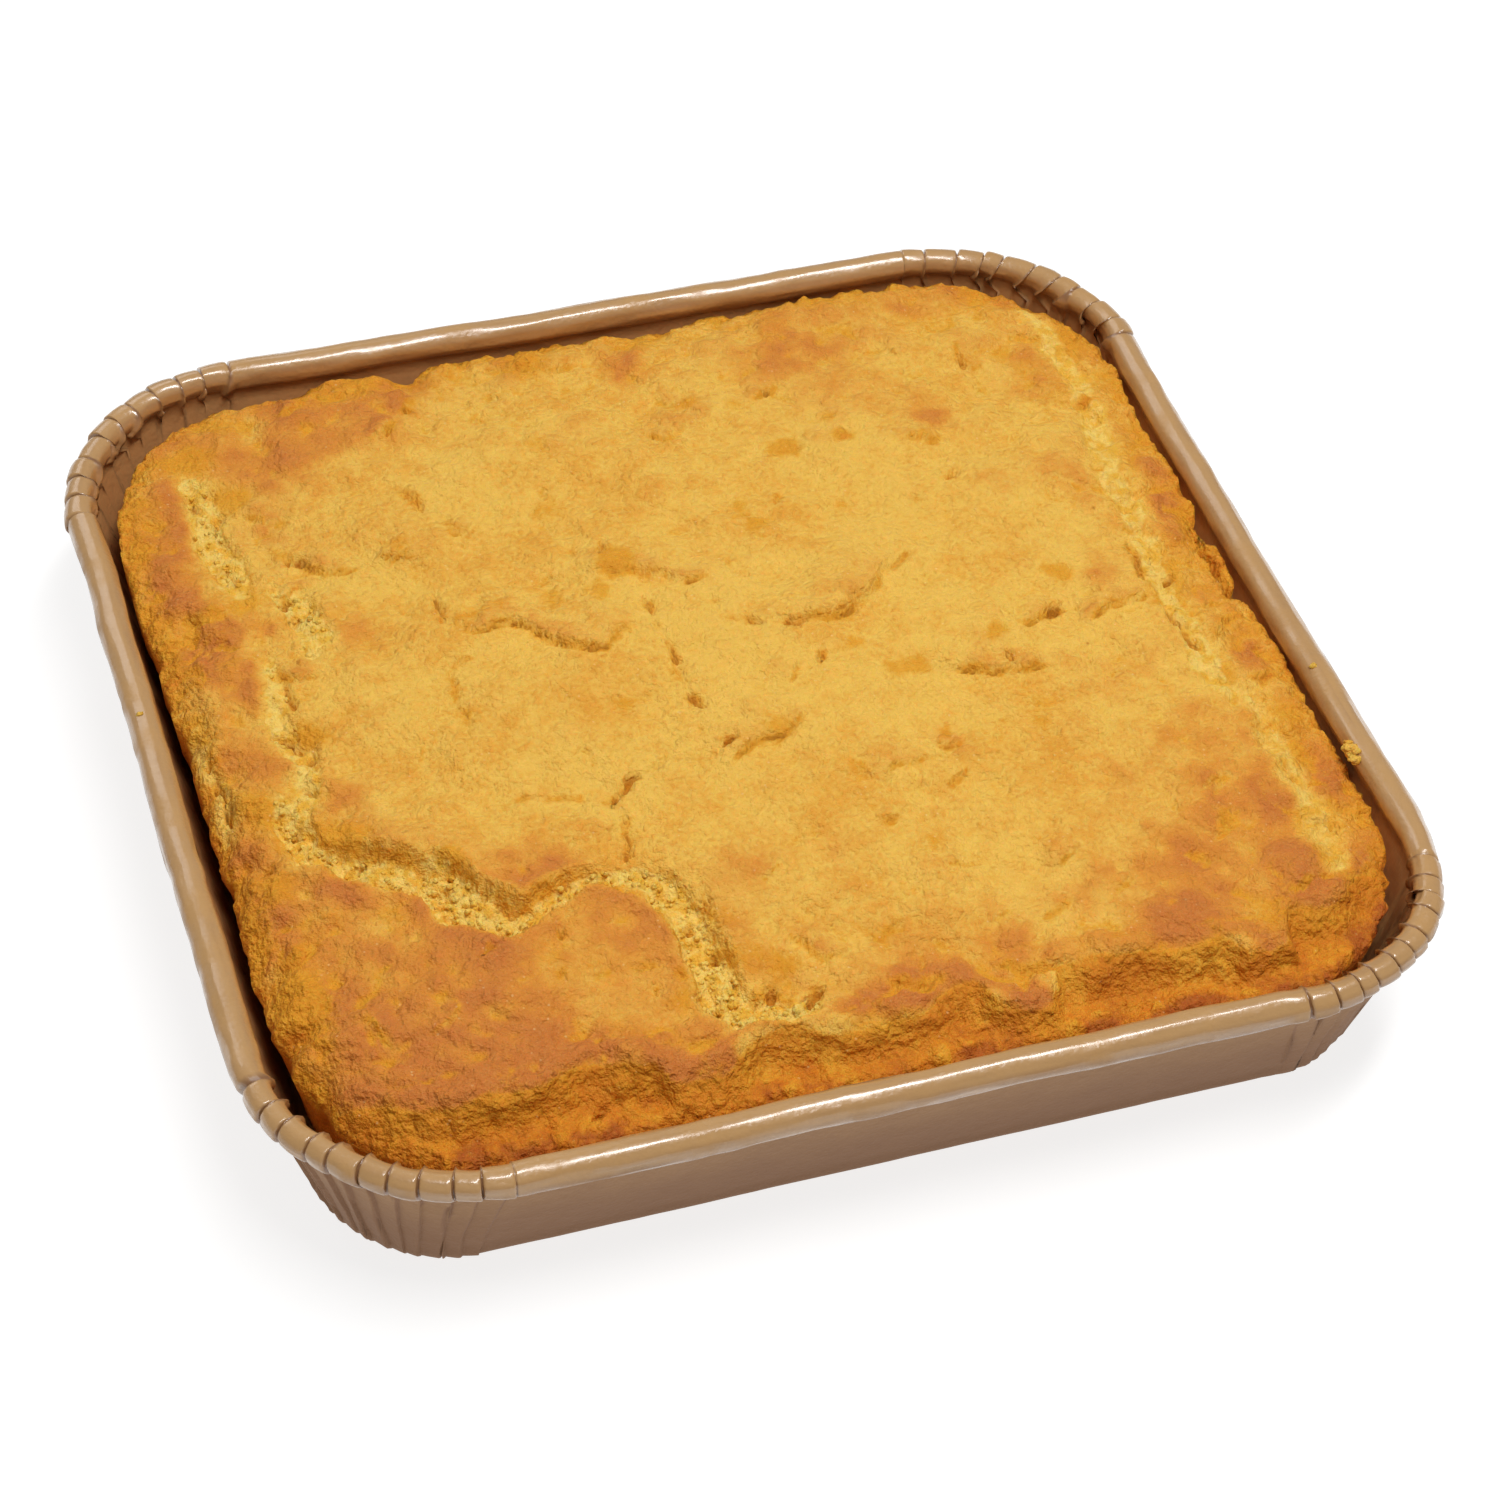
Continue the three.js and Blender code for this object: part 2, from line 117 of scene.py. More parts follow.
# The bread's edge by direction in degrees: its height, and how far out it bulges
EDGES = [
    (-180, 25.5, 0.2), (-160, 24.4, 0.0), (-135, 23.4, 0.0), (-90, 23.4, 0.0), (-62, 24.2, 0.5),
    (-46, 25.2, 2.0), (-30, 28.0, 1.5), (0, 29.2, 1.2), (30, 29.4, 1.2), (45, 29.0, 1.4), (62, 29.0, 0.9),
    (90, 28.6, 0.4), (118, 28.4, 0.6), (135, 28.6, 1.4), (150, 28.2, 1.4), (165, 27.0, 0.8),
    (180, 25.5, 0.2),
]

# How the top rises from its edge: height and reach of the shoulder, and the dome's rise over it
SHOULDER_HEIGHT = 31.2
SHOULDER_REACH = 4.6
DOME = 3.4

# Heights of the mesh's rings down the side and the marks they carry, steps of the grid over the top, and
# the seed of every pattern
SIDE_HEIGHTS = (20, 15.5, 10, 6, 4.2, 2.6)
SIDE_MARKS = {"crumb": 0.2, "toast": 0.8, "gold": 0.5, "deep": 0.55, "shade_and_specks": 0.0}
GRID = 292
SEED = 7.31

# Routes and spots below lie on a level plane this high, and move along this lean where the top is higher
PLANE_HEIGHT = 31.0
LEAN = (0.351, 0.955)

# How much closer the grid's rows lie at the front than at the back
CLOSER = 0.12

# Lumps of the top: width of each size of lump and how high it stands
LUMPS = [(34, 1.1), (15, 0.9), (8, 0.7)]
FINE_LUMPS = [(4.3, 0.55), (2.6, 0.42), (1.5, 0.28)]
KNOB_FALL = 1.6

# Round lumps: how wide each is in its cell, how far it lies from the cell's middle, and its mean height;
# then the size and height of crags, of the pebbles on them, and of the grains of open crumb
LUMP_WIDTH = 0.42
LUMP_SHIFT = 0.42
LUMP_MEAN = 0.4
CRAG_SIZE, CRAG_HEIGHT = 3.8, 1.2
PEBBLE_SIZE, PEBBLE_HEIGHT = 2.0, 0.65
NODULE_SIZE, NODULE_HEIGHT, PORE_DEPTH = 2.8, 1.3, 0.5

# Creases of the crust: size of each swirl and how far it drifts, then width and depth of a crease
CREASES = [(9, 3), (5.5, 2), (3.4, 1.2)]
CREASE_WIDTH = 0.9
CREASE_DEPTH = 0.45

# How far from its route a torn bed, a step and a slit are worked out
BED_REACH = 9
LEDGE_REACH = 16
SLIT_REACH = 4

# How lines and patches stray: reach, size and layer of each swing, and how many layers on y's swings are
BED_SWINGS = [(1.1, 5, 20), (0.6, 2.2, 21)], 2
LEDGE_SWINGS = [(0.8, 4, 30), (0.25, 2, 31)], 2
SLIT_SWINGS = [(0.6, 2.4, 37)], 1
TOAST_SWINGS = [(2.4, 6, 100), (1.3, 2.4, 108)], 1
GOLD_SWINGS = [(1.3, 4, 103)], 1

# How far in from its edge the bread bakes darker, and over how many steps of the grid its small and broad
# hollows are measured
WARM_REACH = 17
SMALL_HOLLOW = 4
BROAD_HOLLOW = 11

# Browned knobs and lips that stand up: x, y, radius, height
KNOBS = [
    (-50, -36, 11, 1.3), (-36, -35, 8, 0.9), (-66, -29, 8, 0.8), (-58, -62, 24, 1.2), (-60, -80, 14, 1.6),
    (-40, -80, 9, 1.4), (-14, -80, 9, 0.9), (2, -83, 8, 1.9), (18, -86, 8, 1.7), (34, -83, 8, 1.1),
    (50, -76, 9, 1.6), (63, -80, 8, 1.3), (75, -70, 9, 1.6), (79, -56, 8, 1.0), (-22, 15, 9, 0.9),
    (-4, 30, 10, 0.9), (22, 13, 9, 0.8), (45, -10, 10, 0.8), (-60, 72, 14, 0.9), (-86, 52, 7, 1.1),
    (-86, 20, 7, 0.9), (-86, -30, 7, 0.8), (89, 48, 6, 0.9), (88, 12, 6, 0.8), (88, -30, 6, 0.9),
]

# Beds of open crumb where the crust is torn: points with the width there, depth, and how open it is
BEDS = [
    ([(-80, -12, 3), (-79.5, -20, 5), (-76, -26, 5), (-70, -29.5, 6), (-63, -33.5, 7), (-57, -40.5, 9.5),
      (-51, -46, 6.5), (-45, -45.3, 3.8), (-38, -42, 3.4), (-31, -42.3, 4)], 2.2, 1.0),
    ([(-31, -42.5, 4), (-26.5, -46, 6), (-24, -52, 6), (-23.3, -60, 6), (-23.3, -68, 6), (-22.5, -75, 6.5),
      (-17, -76.5, 4), (-11, -78, 3.5)], 2.0, 1.0),
    ([(-78, 70, 3), (-77, 60, 5), (-77, 52, 6), (-76, 45, 5), (-75.5, 39, 3)], 1.4, 0.8),
    ([(-69, 37, 3), (-66.5, 31, 5), (-65.5, 26, 6), (-66.5, 21, 3)], 1.0, 0.8),
    ([(-74, 20, 2), (-74.5, 14, 3.5), (-76, 8, 4.5), (-75.5, 2, 4), (-73.5, -4, 4), (-75, -10, 4),
      (-78, -16, 4)], 1.2, 0.7),
    ([(83, 77, 2), (84, 68, 4), (85, 60, 5), (84.5, 52, 5), (83.5, 44, 6), (82.5, 36, 6), (80.5, 28, 5),
      (80, 20, 5), (79.5, 10, 5), (79, 2, 4), (79, -6, 4), (79.5, -14, 4.5), (79, -22, 5), (80, -29, 3)],
     0.9, 0.6),
    ([(83, -31, 3), (83, -40, 4.5), (82.5, -48, 4), (82.5, -56, 4.5), (82.5, -64, 5), (81, -71, 3)],
     0.9, 0.5),
    ([(-90, 9, 2), (-89, 0, 2.6), (-88.6, -8, 2.6), (-88.8, -16, 2)], 1.0, 0.5),
    ([(-22, -83, 5), (-14, -84.5, 7), (-4, -86, 6), (6, -86.5, 6), (14, -85, 5)], 0.8, 0.2),
    ([(28, -83.5, 4), (38, -86, 6), (48, -87, 6), (58, -85, 5)], 0.8, 0.1),
]

# Steps of the crust, raised to the left of each route: points, rise, width of the face, how brown it is
LEDGES = [
    ([(-77, -21), (-73, -25.5), (-68, -26.5), (-62, -30), (-58, -34), (-55, -36.5), (-51, -41.5),
      (-49, -43.5), (-46, -43.8), (-42, -41.5), (-36, -40.3), (-30, -39.5)], 2.0, 2.6, 0.35),
    ([(-25, -76), (-26.5, -68), (-26.5, -58), (-28, -51), (-32, -46), (-37, -43.8), (-45, -47.2),
      (-51, -50), (-56, -47.5), (-60, -43), (-61.5, -38.5), (-66, -35.5), (-72, -32.5), (-77, -29)],
     1.2, 2.0, 0.0),
    ([(-20, -46), (-20.5, -54), (-20, -64), (-19.5, -72)], 0.9, 2.0, 0.1),
    ([(-17, 27.5), (-14, 28), (-11, 27), (-9, 26.5), (-6, 24.5), (-3, 22), (0, 21), (3, 21.3), (5, 20.3)],
     1.3, 2.2, 0.25),
    ([(-43.5, 23), (-41, 21), (-40, 19), (-37.5, 18.3), (-35, 19.3), (-32, 19), (-29, 16.5), (-27.5, 14),
      (-25.5, 11.5), (-22, 9.5), (-20.5, 8), (-18, 8.5), (-16, 10.5), (-14.5, 13), (-12.5, 13), (-10, 15)],
     1.3, 2.0, 0.2),
    ([(12, 6), (14, 6.3), (17, 6.5), (20, 5.6), (23, 6.2), (25.5, 7), (27, 9), (29, 10), (31, 12.5),
      (33.5, 15), (36, 16.5)], 1.5, 2.6, 0.3),
    ([(-6, -24.5), (-5.5, -22), (-3, -20.5), (0, -19.6), (3, -19.2), (5, -17.5), (7, -16.3), (8.3, -14.8),
      (9.7, -13)], 1.0, 1.2, 0.3),
    ([(8, -7.5), (9.5, -6), (10.3, -4), (12, -3)], 0.8, 1.0, 0.3),
    ([(34.5, -11), (37, -11.3), (38, -12), (41, -13.5), (43.5, -14.7), (46, -14), (47.5, -15.5),
      (50, -14.7), (52, -14.3), (53, -12.5)], 1.2, 2.2, 0.15),
    ([(50, -2.5), (52, -4), (55, -3.6), (57, -3.3), (59.5, -2)], 1.1, 1.6, 0.35),
    ([(60, -5.5), (62, -6.7), (65, -5.2), (68, -4), (71, -4), (74, -3.8), (76, 0)], 1.2, 2.0, 0.2),
    ([(3.5, 61), (5, 59), (7, 58.2), (9, 59.5), (12, 60.5)], 0.8, 2.0, 0.1),
    ([(23.5, 65.3), (26, 65.3), (29, 66.5), (32, 69.5)], 0.8, 1.8, 0.15),
    ([(48, 47.7), (50.5, 46), (53, 45.5), (55, 48)], 0.9, 2.4, 0.1),
    ([(-71, 58.5), (-68, 57), (-66, 55), (-61, 53.5)], 0.8, 1.5, 0.1),
    ([(-66, 44), (-63.5, 42.5), (-61, 40.3), (-58.5, 39), (-55.5, 38.7), (-54, 40)], 1.2, 2.4, 0.2),
    ([(-51, 43.5), (-50, 41), (-47, 39.8), (-45, 39.5), (-42, 39.7), (-39.8, 41)], 1.3, 2.0, 0.2),
    ([(-37, 47), (-36, 44.5), (-33, 43.7), (-31, 45)], 0.7, 1.5, 0.1),
    ([(-70.5, 37), (-69, 35.5), (-66, 37), (-64, 35.5)], 1.0, 1.8, 0.6),
    ([(-73, 19), (-72.7, 15.5), (-69, 15.3), (-66.5, 16)], 1.0, 2.0, 0.5),
    ([(9, -29.5), (12, -30.5), (14, -32.5), (16.5, -33), (19, -30.5), (24, -30), (29, -29.5)], 0.6, 1.5, 0.1),
    ([(27, -27.5), (29, -28.7), (31.5, -28)], 0.9, 3.2, 0.6),
    ([(24.5, -38), (28, -36.5), (31, -33.5)], 0.6, 2.4, 0.45),
    ([(11.5, -41.5), (14.5, -43), (17, -41.5)], 0.7, 2.2, 0.4),
    ([(-11, -50), (-8.5, -48.5), (-6, -45.8)], 0.8, 1.2, 0.35),
    ([(-10, -62), (-8, -64.5), (-6.5, -67), (-5.5, -69), (-4, -68.7), (-1, -68.3)], 1.0, 1.8, 0.2),
    ([(2, -65.5), (5, -66.5), (8.5, -63)], 0.5, 2.5, 0.3),
    ([(22.5, -68.5), (25, -67.5), (26.5, -66.5)], 0.5, 1.6, 0.4),
    ([(30, -69.5), (33, -68.8), (36.5, -67)], 0.8, 1.8, 0.2),
    ([(44, -67.5), (48, -66)], 0.6, 1.5, 0.2),
    ([(36.5, -59.5), (40, -57), (43, -54.5)], 0.5, 0.9, 0.1),
    ([(20, -54.8), (22.5, -54.8)], 0.4, 1.6, 0.5),
    ([(50, -72.7), (52.5, -72.3)], 0.5, 1.0, 0.7),
    ([(1, -75.5), (3.5, -77.5), (6, -78.8), (9, -77.8), (11, -79)], 1.2, 3.0, 0.6),
    ([(18, -76.5), (20, -77.5), (23, -79), (26, -80), (30, -79.5)], 1.0, 2.4, 0.6),
    ([(64.5, -60), (66.5, -58.5), (69.5, -57.5)], 0.9, 5.5, 0.5),
    ([(66, -49.5), (69, -49), (72, -48)], 0.6, 1.5, 0.4),
    ([(68, -75), (71, -74.5), (74, -74), (76.5, -72.5)], 1.0, 2.4, 0.6),
    ([(82, -17), (84, -15.5), (86, -13), (90, -12)], 0.9, 1.6, 0.4),
    ([(84, -27), (87, -27.5), (89.5, -26)], 0.8, 2.0, 0.6),
    ([(81, -38.5), (83, -37.5), (84.5, -35.5)], 0.8, 3.0, 0.45),
    ([(82, 49.5), (84.5, 48), (86.5, 50)], 0.9, 3.0, 0.6),
    ([(77.3, 33), (78, 30.5), (80.5, 31)], 0.8, 2.5, 0.45),
    ([(76.8, 15), (78.3, 13.7), (80, 14.5)], 0.8, 2.0, 0.45),
    ([(52, 73), (54, 71.3), (55.3, 70)], 0.6, 2.5, 0.4),
    ([(65, 72), (66, 69.5), (66, 66), (68, 63.5), (70, 65)], 0.6, 2.0, 0.3),
    ([(-59, 83), (-57.5, 82), (-55, 84), (-53, 86)], 0.9, 2.2, 0.6),
    ([(-53, 86.5), (-50, 86), (-45, 86.5), (-42, 87)], 0.8, 1.6, 0.35),
    ([(-45, 71.8), (-41.5, 72.5), (-40.5, 74.5), (-38, 77)], 0.9, 2.2, 0.25),
    ([(-36.5, 77.5), (-35.5, 80), (-33.5, 81)], 1.0, 1.6, 0.4),
    ([(-18, 86), (-14, 84.5), (-11, 85), (-9, 82.5), (-6.5, 81.8), (-5, 83.5), (-3, 85)], 0.8, 2.2, 0.3),
    ([(36.5, 50.8), (38.5, 51), (40.3, 52)], 0.5, 2.2, 0.6),
    ([(23.5, 49.5), (26.5, 49.8), (29.5, 50.4)], 0.5, 2.4, 0.45),
    ([(-79, -60), (-76.5, -65), (-75.5, -69)], 0.6, 1.8, 0.3),
    ([(-70, -68), (-66, -65), (-63.5, -62.5), (-64.5, -60.5)], 0.5, 0.9, 0.5),
    ([(-91, -58), (-88, -61), (-86, -66), (-82, -65)], 0.9, 2.0, 0.6),
    ([(-90, -46), (-87, -48), (-84, -46.5), (-83, -43)], 0.9, 2.6, 0.6),
    ([(-91, 21), (-88, 21.5), (-85, 19)], 0.7, 2.0, 0.6),
    ([(-91, 31), (-88, 30), (-87, 32)], 0.7, 1.6, 0.6),
    ([(-87, 35), (-82, 33.5), (-78, 35.5)], 0.8, 3.0, 0.35),
]

# Slits and small holes that go deep: points, width, depth
SLITS = [
    ([(-78.7, 65.5), (-77.5, 62.3)], 1.3, 2.4), ([(-75.6, 60.5), (-75, 59), (-76.6, 55.8)], 1.2, 2.4),
    ([(-78, 47), (-75.6, 44), (-75.3, 41)], 1.0, 1.8), ([(-68.8, 35.4), (-68.3, 32.8)], 1.3, 2.0),
    ([(-68.5, 31), (-68.3, 28.4)], 0.9, 1.4), ([(-64.6, 44.2), (-62.4, 43)], 1.7, 2.4),
    ([(-66, 45), (-66.1, 43.3)], 1.0, 1.6), ([(-43, 30), (-43, 25), (-43.6, 22)], 1.1, 1.6),
    ([(-73, 14), (-72.6, 8.3)], 1.1, 2.0), ([(-76.5, 3.5), (-74.5, 1.6), (-73.7, -0.6)], 1.1, 2.0),
    ([(-72, -1.6), (-72, -3.5), (-73.7, -3.5)], 1.0, 1.8), ([(-75.2, -8.8), (-73.7, -11.5)], 1.1, 2.0),
    ([(-89, 1.2), (-89.1, -0.6)], 2.0, 5.0), ([(-88.8, -3), (-88.4, -7), (-88.7, -14)], 1.4, 3.4),
    ([(12.2, 7.2), (15.2, 6.7)], 1.9, 2.8), ([(-43, 60), (-42, 57), (-40, 53.5), (-39.6, 51)], 0.9, 0.9),
    ([(-9, 19), (-8.2, 15.3)], 1.0, 1.1), ([(6.6, 11), (6.4, 9.2), (9.2, 8)], 1.1, 1.2),
    ([(-8.4, 6.8), (-8.3, 4), (-7.2, 2.6)], 1.1, 1.3), ([(-8.3, -4.2), (-7.9, -7), (-6.4, -8.7)], 1.2, 1.2),
    ([(-6.5, -18.9), (-5.5, -17.8), (-4.2, -16.5)], 1.6, 2.2), ([(7, 21.8), (10, 20)], 1.0, 1.0),
    ([(-13.5, 31.3), (-11.6, 35)], 1.2, 1.4), ([(20, 36.3), (22.6, 39.8)], 0.9, 0.9),
    ([(51.3, 35), (55.6, 38)], 1.0, 1.0), ([(44, 31.6), (46.3, 32)], 0.9, 0.7),
    ([(15, -3.8), (16.6, -0.4)], 1.1, 1.4), ([(46, -8.5), (46.1, -13)], 1.2, 1.5),
    ([(56.8, -2.9), (58.7, -1.2)], 1.5, 2.2), ([(89.6, 12), (89.8, 4), (90.4, -2), (90.5, -7)], 1.5, 4.5),
    ([(77, 12), (76.5, 6), (76.3, 1)], 1.2, 1.8), ([(77.2, -6), (77.5, -12), (78.6, -18.5)], 1.2, 1.8),
    ([(-28.6, -27), (-26.8, -25.5), (-24, -22.8), (-21, -21)], 1.3, 1.8),
    ([(-29.8, -39.3), (-27.6, -34), (-27, -28)], 0.9, 1.3), ([(-29.8, -39.3), (-28.4, -36.7)], 1.2, 2.0),
    ([(-21, -21), (-16, -19.6), (-11, -20.5), (-6, -18.9)], 0.7, 0.7),
    ([(-8.3, -4.2), (-8.8, 0), (-8.4, 6.8), (-9, 15)], 0.7, 0.6),
    ([(-27, -28), (-33, -24), (-40, -22), (-47, -23)], 0.6, 0.5),
    ([(-45.2, 12), (-46, 6), (-45.8, 0), (-46.5, -6)], 0.7, 0.6),
    ([(-45.2, 11), (-42.5, 12.8), (-40.5, 12.8)], 0.7, 0.5),
    ([(-37.5, 49), (-36.5, 46.5), (-34.5, 44.5), (-33, 44), (-36, 39.5)], 0.7, 0.6),
    ([(12, 34.5), (15, 36)], 0.8, 0.7), ([(2, 18), (2.6, 15), (2.5, 13), (4, 10.5), (6.6, 9.3)], 0.7, 0.6),
    ([(-29.5, -12), (-28.5, -15), (-27, -18)], 0.7, 0.6), ([(-9, -9.5), (-9, -12), (-8.7, -15)], 0.7, 0.6),
    ([(7.5, 22), (8.5, 25), (9.3, 28)], 0.6, 0.5), ([(33.5, 15), (37, 17), (40, 19.5)], 0.7, 0.6),
    ([(-16.8, -73.4), (-14.8, -72.6)], 1.8, 2.6), ([(-12.2, -76.6), (-8, -73.4)], 1.3, 1.8),
    ([(-25.6, -73.6), (-24.4, -71.8)], 1.5, 2.2), ([(-36, -61.6), (-33.5, -62.8), (-31.8, -62)], 1.1, 1.1),
    ([(-29.6, -65), (-26.8, -66.6)], 1.0, 0.9), ([(-33.6, -68.6), (-33, -66.3)], 1.0, 1.0),
    ([(-47, -58.8), (-46.6, -61.2)], 1.0, 0.9), ([(-44, -53.3), (-43.5, -50.8)], 1.5, 1.3),
    ([(-57.2, -53), (-54, -51.5)], 1.0, 0.9), ([(-49.2, -87.4), (-46.2, -86)], 1.7, 2.4),
    ([(-53.6, -49.2), (-51.8, -48)], 1.6, 2.2), ([(-61, -38.3), (-60, -39.8)], 1.2, 2.0),
    ([(-41, -41.2), (-39.8, -41)], 1.6, 2.0), ([(-24, -54.5), (-23.4, -56.5)], 1.4, 2.2),
    ([(-21.6, -61), (-21.2, -62.3)], 1.2, 2.0), ([(-70.4, -27.3), (-69.6, -27.7)], 1.6, 2.2),
    ([(-79.2, -18), (-78.4, -19.6)], 1.4, 2.0), ([(-85.6, -25.6), (-85.2, -26.4)], 1.6, 2.0),
    ([(-72.8, -31.4), (-70.4, -31.8)], 1.3, 2.0), ([(66, 68.4), (66.1, 65)], 1.1, 1.2),
    ([(28, 67), (29.2, 66.6)], 1.2, 1.6), ([(80, 1.2), (81, 0.4)], 1.5, 2.0),
    ([(-37, 79.5), (-35.8, 77.5)], 1.2, 1.8), ([(-41, 73.6), (-40.8, 72.2)], 1.1, 1.5),
    ([(84, -62), (84.4, -64)], 1.1, 1.2), ([(82, -46), (82.3, -52)], 1.1, 1.2),
]

# Where the front of the crust drops to rubble: x and the y of its top edge
CLIFF = [
    (-92, -70), (-86, -77), (-80, -80.5), (-70, -82), (-60, -84), (-54, -82.5), (-50, -81), (-42, -80.5),
    (-38, -83), (-36, -88), (-28, -89), (-25, -86), (-21, -81.5), (-14, -80.5), (-10, -83.5), (0, -84.5),
    (6, -84), (9, -81.5), (15, -81), (18, -85), (22, -87.5), (26, -87), (29, -81), (36, -80.5), (50, -81),
    (57, -81.5), (60, -86.5), (66, -87), (69, -81), (76, -80), (82, -77), (92, -70),
]
CLIFF_WIDTH = 5.2
RUBBLE_HEIGHT = 26.3

# Where the bread's edge is broken in: x, y, radius, depth
NOTCHES = [
    (92, 12, 3.6, 2.6), (92.5, -5, 3.2, 2.0), (-35, 93, 3.6, 4.0), (-61, 93, 8, 3.2), (-92.5, 8, 2.5, 1.4),
    (-92.5, -24, 3, 1.2), (-93, -61, 4, 2.4), (-93, 30, 3, 1.0), (-90, -72, 5, 1.6), (12, 93, 8, 1.2),
]

# Browned patches: x, y, radius, strength
TOASTED = [
    (-64, -64, 34, 0.34), (-86, -6, 16, 0.25), (-84, 52, 16, 0.22), (62, -64, 26, 0.2), (10, -76, 22, 0.25),
    (-34, -70, 18, 0.2), (84, -44, 18, 0.3), (66, -76, 20, 0.35), (78, -60, 14, 0.25), (86, 10, 14, 0.2),
    (-52, 84, 26, 0.22), (40, 82, 22, 0.2),
    (-84, 66, 6, 0.8), (-84, 56, 5.5, 0.9), (-86, 46, 6, 0.75), (-87, 39, 4, 0.8), (-83, 29, 5.5, 1.0),
    (-85, 24, 4.5, 0.8), (-79, 17, 5, 0.6), (-80, 12, 4, 0.6), (-77, -4, 4.5, 0.7), (-86, -3, 5, 0.5),
    (-70, -15, 5, 0.65), (-87, -20, 5, 0.9), (-88, -32, 5, 0.6), (-86, -39, 6, 0.85), (-74, -34, 5, 0.7),
    (-64, -38, 4, 0.85), (-57, -49, 5, 0.8), (-70, -50, 9, 0.45), (-79, -50, 6, 0.65), (-82, -57, 6, 0.75),
    (-63, -54, 5, 0.6), (-76, -62, 7, 0.5), (-64, -62, 8, 0.5), (-56, -64, 8, 0.6), (-72, -72, 9, 0.75),
    (-60, -74, 9, 0.65), (-48, -74, 7, 0.8), (-66, -81, 9, 1.0), (-76, -80, 6, 0.9), (-55, -81, 5, 0.85),
    (-50, -68, 8, 0.45), (-84, -66, 6, 0.5), (-46, -37, 4.5, 0.8), (-41, -37, 4, 0.6), (-36, -46, 4, 0.5),
    (-31, -56, 6, 0.5), (-36, -54, 5, 0.4), (-37, -78, 4, 0.7), (-22, -79.5, 6, 0.85), (-35, -86, 5, 0.9),
    (-28, -87, 4, 1.0), (-12, -72, 4, 0.4), (-1, -80, 5, 0.9), (4, -82, 4, 0.8), (6, -74, 4, 0.9),
    (13, -78, 4, 0.55), (18, -79, 3, 0.6), (24, -84, 4.5, 1.0), (22, -74, 3, 0.4), (40, -66, 5, 0.5),
    (48, -62, 5, 0.35), (56, -61, 5.5, 0.65), (58, -64, 4, 0.6), (56, -72, 5, 1.0), (54, -76, 4, 0.8),
    (48, -77, 5, 0.5), (67, -53, 4, 0.7), (75, -50, 4, 0.7), (76, -58, 5.5, 0.8), (76, -66, 4, 1.0),
    (73, -69, 4, 0.8), (85, -75, 5, 1.0), (90, -68, 4, 0.7), (88, -52, 5, 0.9), (87, -44, 3, 0.6),
    (88, -22, 4, 0.95), (88, -17, 4, 0.6), (72, -77, 5, 0.5), (62, -85, 4, 0.9), (87, 20, 4.5, 0.85),
    (90, 29, 4, 0.7), (86, 12, 4, 0.6), (87, -5, 4, 0.4), (90, 41, 5, 0.45), (83, 52, 4, 0.6),
    (56, 52, 3.6, 0.8), (53, 60, 4, 0.4), (78, 64, 8, 0.5), (74, 56, 3, 0.5), (73, 25, 5, 0.4),
    (72, 33, 4, 0.35), (71, 5, 4, 0.3), (60, 32, 4, 0.25), (42, 78, 8, 0.5), (35, 76, 5, 0.6),
    (27, 73, 4, 0.5), (40, 64, 10, 0.3), (10, 66, 6, 0.3), (-8, 66, 5, 0.25), (6, 81, 4, 0.65),
    (-60, 68, 7, 0.7), (-65, 72, 6, 0.6), (-67, 54, 3.5, 0.6), (-50, 80, 9, 0.6), (-42, 80, 4, 0.5),
    (-58, 85, 3, 1.0), (-36, 88, 5, 0.6), (-76, 80, 6, 0.6), (-15, 88, 5, 0.5), (-57, 23, 5, 0.55),
    (-73, 29, 3, 0.8), (62, 84, 4, 0.5), (74, 86, 4, 0.8), (86, 74, 5, 0.4), (82, 82, 4, 0.6),
    (-10, -45, 7, 0.35), (4, -45, 4, 0.4), (60, -20, 9, 0.3), (55, -42, 6, 0.3), (68, -36, 6, 0.25),
    (90, 62, 4, 0.4), (29.5, -27, 2.6, 0.8),
]

